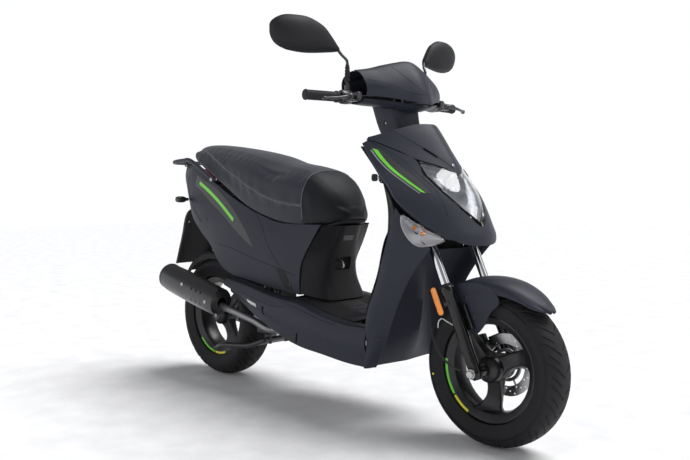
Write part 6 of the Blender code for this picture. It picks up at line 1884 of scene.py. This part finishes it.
def muffler():
    """Silencer with its heat shield, tailpipe and header pipe."""
    axis = MUFFLER_HIGH - MUFFLER_LOW
    length = axis.length
    piece = Piece("muffler", "engine", "black_steel", "muffler")
    outer = [(0.020, 0.0), (0.040, 0.0025), (0.0500, 0.010), (0.0520, 0.018), (0.0520, length - 0.018),
             (0.0532, length - 0.014), (0.0532, length - 0.006), (0.0495, length - 0.001),
             (0.030, length), (0.020, length - 0.002)]
    inner = [(0.020, length - 0.006), (0.048, length - 0.008), (0.048, 0.012), (0.020, 0.005)]
    piece.add(turn(outer + inner, MUFFLER_LOW, axis, 64), SATIN_PAINT)
    u, v, w = basis(axis)
    side_dir = Vector((0, -1, 0))
    up_dir = w.cross(side_dir).normalized()
    if up_dir.z < 0:
        up_dir = -up_dir
    rows = []
    for share in (0.0, 0.04, 0.12, 0.3, 0.5, 0.7, 0.88, 0.96, 1.0):
        at = MUFFLER_LOW + w * (-0.010 + (length - 0.018) * share)
        bulge = 0.0625 - 0.004 * (abs(share - 0.5) * 2) ** 4
        spread = 1.0 - 0.28 * (abs(share - 0.5) * 2) ** 6
        row = []
        for k in range(-6, 7):
            angle = math.radians(14 * k * spread - 4)
            row.append(at + (side_dir * math.cos(angle) + up_dir * math.sin(angle)) * bulge
                       + Vector((0, 0, 0.004)))
        rows.append(row)
    shell = sheet(grid_flow(rows, 6, 3), 0.0022, (0, -1, 0))
    skin = tree_of(shell)
    holes = []
    for share in (0.16, 0.24, 0.32):
        at = MUFFLER_LOW + w * (length * share)
        first = from_side(skin, -1, at.x, at.z + 0.028, 0.0)
        last = from_side(skin, -1, at.x - 0.006, at.z - 0.022, 0.0)
        if first is not None and last is not None:
            holes.append(tube([first, last], 0.0036, 3, 12))
    piece.add(carved(shell, *holes), SATIN_PAINT)
    for share, rise in ((0.075, 0.0), (0.50, 0.022), (0.93, 0.0)):
        at = MUFFLER_LOW + w * (length * share)
        spot = from_side(skin, -1, at.x, at.z + rise, 0.0)
        if spot is not None:
            piece.add(bolt(spot, (0, -1, 0), 0.0060, 0.0034), ZINC)
    tip_start = MUFFLER_HIGH + Vector((0.01, 0.0, -0.012))
    tip_end = MUFFLER_HIGH + Vector((-0.030, 0, -0.016))
    reach = (tip_end - tip_start).length
    piece.add(turn([(0.0098, 0.0), (0.0098, reach - 0.001), (0.0090, reach), (0.0078, reach - 0.001),
                    (0.0078, 0.0)], tip_start, tip_end - tip_start, 36), STEEL)
    piece.add(tube([(-0.520, -0.140, 0.310), (-0.480, -0.129, 0.297), (-0.440, -0.118, 0.285),
                    (-0.360, -0.100, 0.262), (-0.300, -0.085, 0.238), (-0.262, -0.055, 0.236)], 0.0138,
                   6, 24), CAST_GREY)
    piece.add(turn([(0.0138, 0.0), (0.024, 0.0), (0.024, 0.006), (0.0138, 0.006)],
                   (-0.268, -0.060, 0.236), (-0.76, -0.65, 0.0), 32), ZINC)
    piece.done()


def rear_hugger():
    """Close guard over the rear tyre."""
    rows = []
    for degrees, half in ((56, 0.060), (66, 0.066), (78, 0.069), (102, 0.070), (124, 0.070),
                          (140, 0.066)):
        theta = math.radians(degrees)
        ray = wheel_ray(theta)
        top = REAR_AXLE + ray * 0.265
        hem = REAR_AXLE + ray * 0.233
        mid = REAR_AXLE + ray * 0.254
        rows.append([(top.x, 0.0, top.z), (top.x, half * 0.5, top.z), (top.x, half * 0.75, top.z),
                     (mid.x, half * 0.95, mid.z), (hem.x, half, hem.z)])
    shell = sheet(grid_flow(mirrored(rows), 8, 4), PANEL, (0, 0, 1))
    hugger = Piece("rear_hugger", "engine", "black_plastic", "rear_hugger")
    hugger.add(shell, PLASTIC_DARK)
    for radius, y in ((0.2575, 0.0560), (0.2500, 0.0655)):
        for side in (-1, 1):
            line = []
            for degrees in range(62, 137, 6):
                theta = math.radians(degrees)
                line.append(REAR_AXLE + Vector((math.cos(theta) * radius, side * y,
                                                math.sin(theta) * radius)))
            hugger.add(tube(line, 0.0016, 3, 8), PLASTIC_DARK)
    hugger.done()


def kick_lever():
    """Kick starter lever with a rubber pedal."""
    kick = Piece("kick_lever", "kick_starter", "bright_steel", "kick_lever")
    kick.add(tube([KICK_PIVOT, (-0.430, 0.180, 0.257), (-0.470, 0.184, 0.262), (-0.520, 0.188, 0.269),
                   (-0.560, 0.190, 0.275)], (0.0095, 0.0080, 0.0072, 0.0068, 0.0070), 6, 20), ZINC)
    kick.add(rod(KICK_PIVOT - Vector((0, 0.012, 0)), KICK_PIVOT + Vector((0, 0.014, 0)), 0.013,
                 edge=0.002), ZINC)
    kick.add(bolt(KICK_PIVOT + Vector((0, 0.014, 0)), (0, 1, 0), 0.005, 0.003), STEEL)
    kick.add(block((-0.560, 0.208, 0.277), (0.018, 0.050, 0.014), 0.004), GRIP_RUBBER)
    for k in range(5):
        y = 0.190 + 0.009 * k
        kick.add(tube([(-0.568, y, 0.2842), (-0.560, y, 0.2846), (-0.552, y, 0.2842)], 0.0012, 3, 8),
                 GRIP_RUBBER)
    kick.done()


def centre_stand():
    """Folded centre stand."""
    stand = Piece("centre_stand", "centre_stand", "black_steel", "centre_stand")
    for side in (-1, 1):
        stand.add(tube([(-0.345, side * 0.062, 0.185), (-0.400, side * 0.092, 0.162),
                        (-0.460, side * 0.111, 0.156), (-0.520, side * 0.128, 0.152),
                        (-0.552, side * 0.132, 0.138)], 0.0100, 6, 20), SATIN_PAINT)
        stand.add(block((-0.556, side * 0.132, 0.1375), (0.026, 0.022, 0.006), 0.002), SATIN_PAINT)
    stand.add(rod((-0.345, -0.064, 0.185), (-0.345, 0.064, 0.185), 0.011, edge=0.0015), SATIN_PAINT)
    stand.add(rod((-0.420, -0.098, 0.159), (-0.420, 0.098, 0.159), 0.008), SATIN_PAINT)
    stand.done()


def shock_body():
    """Upper tube of the shock with its eye and spring seat."""
    upper = Piece("shock_body", "shock_upper", "black_steel", "shock_body")
    profile = [(0.0, -0.020), (0.0063, -0.020), (0.0063, -0.140), (0.0115, -0.140), (0.0115, -0.034),
               (0.0200, -0.0318), (0.0215, -0.0300), (0.0215, -0.0265), (0.0200, -0.0245),
               (0.0115, -0.0225), (0.0115, -0.006), (0.0, -0.006)]
    upper.add(turn(profile, SHOCK_TOP, (0, 0, 1), 40), SATIN_PAINT)
    upper.add(turn([(0.0061, -0.0125), (0.0118, -0.0125), (0.0125, -0.0115), (0.0125, 0.0115),
                    (0.0118, 0.0125), (0.0061, 0.0125)], SHOCK_TOP, (0, 1, 0), 40), GRIP_RUBBER)
    upper.done(0.0003)


def shock_rod():
    """Rod with its lower spring seat and eye."""
    lower = Piece("shock_rod", "shock_lower", "bright_steel", "shock_rod")
    profile = [(0.0, 0.170), (0.0060, 0.170), (0.0060, 0.042), (0.0200, 0.0400), (0.0215, 0.0384),
               (0.0215, 0.0352), (0.0200, 0.0335), (0.0100, 0.031), (0.0100, 0.004), (0.0, 0.004)]
    lower.add(turn(profile, SHOCK_BOTTOM, (0, 0, 1), 40), CHROME)
    lower.add(turn([(0.0068, -0.0125), (0.0118, -0.0125), (0.0125, -0.0115), (0.0125, 0.0115),
                    (0.0118, 0.0125), (0.0068, 0.0125)], SHOCK_BOTTOM, (0, 1, 0), 40), ZINC)
    lower.done(0.0003)


def shock_spring():
    """Coil spring between the two seats."""
    low = SHOCK_BOTTOM.z + 0.042 + 0.0033
    high = SHOCK_TOP.z - 0.034 - 0.0033
    line = []
    turns, per_turn = 6, 28
    for step in range(turns * per_turn + 1):
        angle = 2 * math.pi * step / per_turn
        line.append((SHOCK_TOP.x + 0.0175 * math.cos(angle), SHOCK_TOP.y + 0.0175 * math.sin(angle),
                     low + (high - low) * step / (turns * per_turn)))
    spring = Piece("shock_spring_fine", "shock_upper", "bright_steel", "shock_spring")
    spring.add(tube(line, 0.0030, 1, 14), CHROME)
    spring.done(0.0)


def bent(points, share):
    """Points that keep a tube's runs straight and bend it only near each corner."""
    spots = [Vector(p) for p in points]
    near = []
    for a, b in zip(spots, spots[1:]):
        near += [a.lerp(b, share), a.lerp(b, 1.0 - share)]
    return [spots[0]] + near + [spots[-1]]


def frame_tubes():
    """Spine, head tube, side rails and brackets, seen through the gaps."""
    piece = Piece("frame", "chassis", "black_steel", "frame")
    spine = [(0.395, 0, 0.690), (0.330, 0, 0.600), (0.300, 0, 0.450), (0.270, 0, 0.330),
             (0.215, 0, 0.272), (0.100, 0, 0.268), (-0.170, 0, 0.268)]
    piece.add(tube(bent(spine, 0.12), 0.020, 4, 24), SATIN_PAINT)
    head = turn([(0.0133, 0.0), (0.0280, 0.0), (0.0285, 0.004), (0.0285, 0.012), (0.0260, 0.016),
                 (0.0260, 0.172), (0.0285, 0.176), (0.0285, 0.184), (0.0280, 0.188), (0.0133, 0.188)],
                on_steering(0.452), STEER_UP, 40)
    piece.add(head, SATIN_PAINT)
    for side in (-1, 1):
        route = [(0.180, side * 0.010, 0.268), (0.120, side * 0.095, 0.268),
                 (-0.120, side * 0.100, 0.272), (-0.240, side * 0.100, 0.330),
                 (-0.330, side * 0.100, 0.560), (-0.480, side * 0.098, 0.640),
                 (-0.770, side * 0.066, 0.800)]
        piece.add(tube(bent(route, 0.10), 0.0135, 4, 20), SATIN_PAINT)
        piece.add(block((-0.262, side * 0.052, 0.290), (0.110, 0.008, 0.060), 0.003), SATIN_PAINT)
    for x, z, half in ((-0.120, 0.272, 0.100), (-0.480, 0.640, 0.098), (-0.740, 0.783, 0.070),
                       (-0.236, 0.320, 0.098)):
        piece.add(rod((x, -half, z), (x, half, z), 0.011), SATIN_PAINT)
    piece.add(rod((-0.300, -0.056, 0.262), (-0.300, 0.056, 0.262), 0.006), ZINC)
    piece.add(block((-0.595, 0.0825, 0.650), (0.034, 0.010, 0.110), 0.003), SATIN_PAINT)
    piece.add(rod((SHOCK_TOP.x, 0.080, SHOCK_TOP.z), (SHOCK_TOP.x, 0.114, SHOCK_TOP.z), 0.0055), ZINC)
    piece.done()


def battery():
    """Battery under the floor."""
    battery = Piece("battery", "chassis", "black_plastic", "battery")
    battery.add(block((0.020, 0.0, 0.3165), (0.115, 0.070, 0.057), 0.004), PLASTIC_GLOSS)
    for y in (-0.022, 0.022):
        battery.add(rod((0.062, y, 0.343), (0.062, y, 0.3479), 0.005), ZINC)
    battery.done()


def fuel_tank():
    """Tank under the seat."""
    tank = Piece("fuel_tank", "chassis", "black_steel", "fuel_tank")
    tank.add(block((-0.640, 0.0, 0.700), (0.220, 0.110, 0.070), 0.016, rounds=5), SATIN_PAINT)
    tank.add(block((-0.640, 0.0, 0.700), (0.221, 0.1105, 0.004), 0.0015), SATIN_PAINT)
    tank.done()


def storage_bucket():
    """Bucket under the seat."""
    levels = ((0.632, 1.0), (0.600, 0.98), (0.520, 0.92), (0.450, 0.86), (0.432, 0.80))

    def bucket_ring(z, shrink, wall):
        return [(-0.175 + a * shrink, b * shrink, z) for a, b in rounded_ring(0.270 - wall,
                0.170 - wall, 0.035, 5)]

    outer = [bucket_ring(z, s, 0.0) for z, s in levels]
    inner = [bucket_ring(z if z > 0.44 else 0.436, s, 0.007) for z, s in levels]
    points, faces = rings_to_shape(outer[::-1] + inner, caps=True)
    bucket = Piece("storage_bucket", "chassis", "black_plastic", "storage_bucket")
    bucket.add((points, faces), PLASTIC_DARK)
    bucket.done()


# ------------------------------------------------------------------ camera, floor and light
HORIZON_BAND = (0.24, 0.36)
WALL_STRENGTH = 1.03
DOME_STRENGTH = 0.24
SUN_STRENGTH = 3.0
SUN_SOFTNESS = 42.0
SUN_FROM = (0.22, 0.42, 1.0)
LIGHTS = (("front_softbox", (3.4, 0.9, 2.1), (0.3, 0.0, 0.7), (1.4, 1.8), 9.0),
          ("side_softbox", (-1.2, -3.6, 2.0), (-0.2, 0.0, 0.6), (2.0, 1.2), 12.0))
CAMERA_PLACE = (2.085 + ORIGIN_SHIFT, -2.014, 0.781)
CAMERA_TURN = (math.radians(86.76), 0.0, math.radians(45.6))
CAMERA_LENS = 42.88
FLOOR_REACH = 12


def studio():
    """Floor, backdrop, lights and the photograph's camera."""
    floor_mesh = bpy.data.meshes.new("studio_floor")
    r = FLOOR_REACH
    floor_mesh.from_pydata([(-r, -r, 0), (r, -r, 0), (r, r, 0), (-r, r, 0)], [], [(0, 1, 2, 3)])
    floor = bpy.data.objects.new("studio_floor", floor_mesh)
    floor_mesh.materials.append(look("pale_floor", (0.88, 0.88, 0.89), 0.75, grain=60, bump=0.02,
                                     wear=0.03))
    SCENE.collection.objects.link(floor)
    world = bpy.data.worlds.new("studio_world")
    SCENE.world = world
    world.use_nodes = True
    back = world.node_tree.nodes["Background"]
    way = world.node_tree.nodes.new("ShaderNodeTexCoord")
    parts = world.node_tree.nodes.new("ShaderNodeSeparateXYZ")
    fade = world.node_tree.nodes.new("ShaderNodeMapRange")
    fade.inputs["From Min"].default_value = HORIZON_BAND[0]
    fade.inputs["From Max"].default_value = HORIZON_BAND[1]
    fade.inputs["To Min"].default_value = WALL_STRENGTH
    fade.inputs["To Max"].default_value = DOME_STRENGTH
    world.node_tree.links.new(way.outputs["Generated"], parts.inputs["Vector"])
    world.node_tree.links.new(parts.outputs["Z"], fade.inputs["Value"])
    world.node_tree.links.new(fade.outputs["Result"], back.inputs["Strength"])
    back.inputs["Color"].default_value = (0.97, 0.98, 1.0, 1.0)
    sun_data = bpy.data.lights.new("overhead", "SUN")
    sun_data.energy = SUN_STRENGTH
    sun_data.angle = math.radians(SUN_SOFTNESS)
    sun = bpy.data.objects.new("overhead", sun_data)
    sun.rotation_euler = Vector(SUN_FROM).to_track_quat("Z", "Y").to_euler()
    SCENE.collection.objects.link(sun)
    for name, place, aim, size, power in LIGHTS:
        lamp_data = bpy.data.lights.new(name, "AREA")
        lamp_data.shape = "RECTANGLE"
        lamp_data.size = size[0]
        lamp_data.size_y = size[1]
        lamp_data.energy = power
        lamp = bpy.data.objects.new(name, lamp_data)
        lamp.location = place
        lamp.rotation_euler = (Vector(aim) - Vector(place)).to_track_quat("-Z", "Y").to_euler()
        SCENE.collection.objects.link(lamp)
    camera_data = bpy.data.cameras.new("camera")
    camera_data.lens = CAMERA_LENS
    camera_data.sensor_width = 36.0
    camera_data.clip_end = 60.0
    camera = bpy.data.objects.new("camera", camera_data)
    camera.location = CAMERA_PLACE
    camera.rotation_euler = CAMERA_TURN
    SCENE.collection.objects.link(camera)
    SCENE.camera = camera
    SCENE.view_settings.view_transform = "Standard"
    SCENE.view_settings.look = "None"
    SCENE.view_settings.exposure = 0.0


tyres_and_rims()
brake_disc()
fork_sliders()
front_axle()
fork_upper()
front_mudguard()
brake_caliper()
speedo_cable()
handlebar()
grips()
brake_levers()
buttons()
mirrors()
front_cover()
rear_cover()
neck_cover()
front_shield()
front_cowl()
headlight_lens()
headlight_housing()
front_indicators()
leg_shield()
leg_shield_inner()
ignition_lock()
footboard()
side_skirts()
centre_cover()
body_sides()
tail_light()
rear_indicators()
grab_rail()
rear_mudguard()
seat_piping(seat_cushion())
seat_base()
crankcase()
cvt_cover()
air_cleaner()
muffler()
rear_hugger()
kick_lever()
centre_stand()
shock_body()
shock_rod()
shock_spring()
frame_tubes()
battery()
fuel_tank()
storage_bucket()
studio()
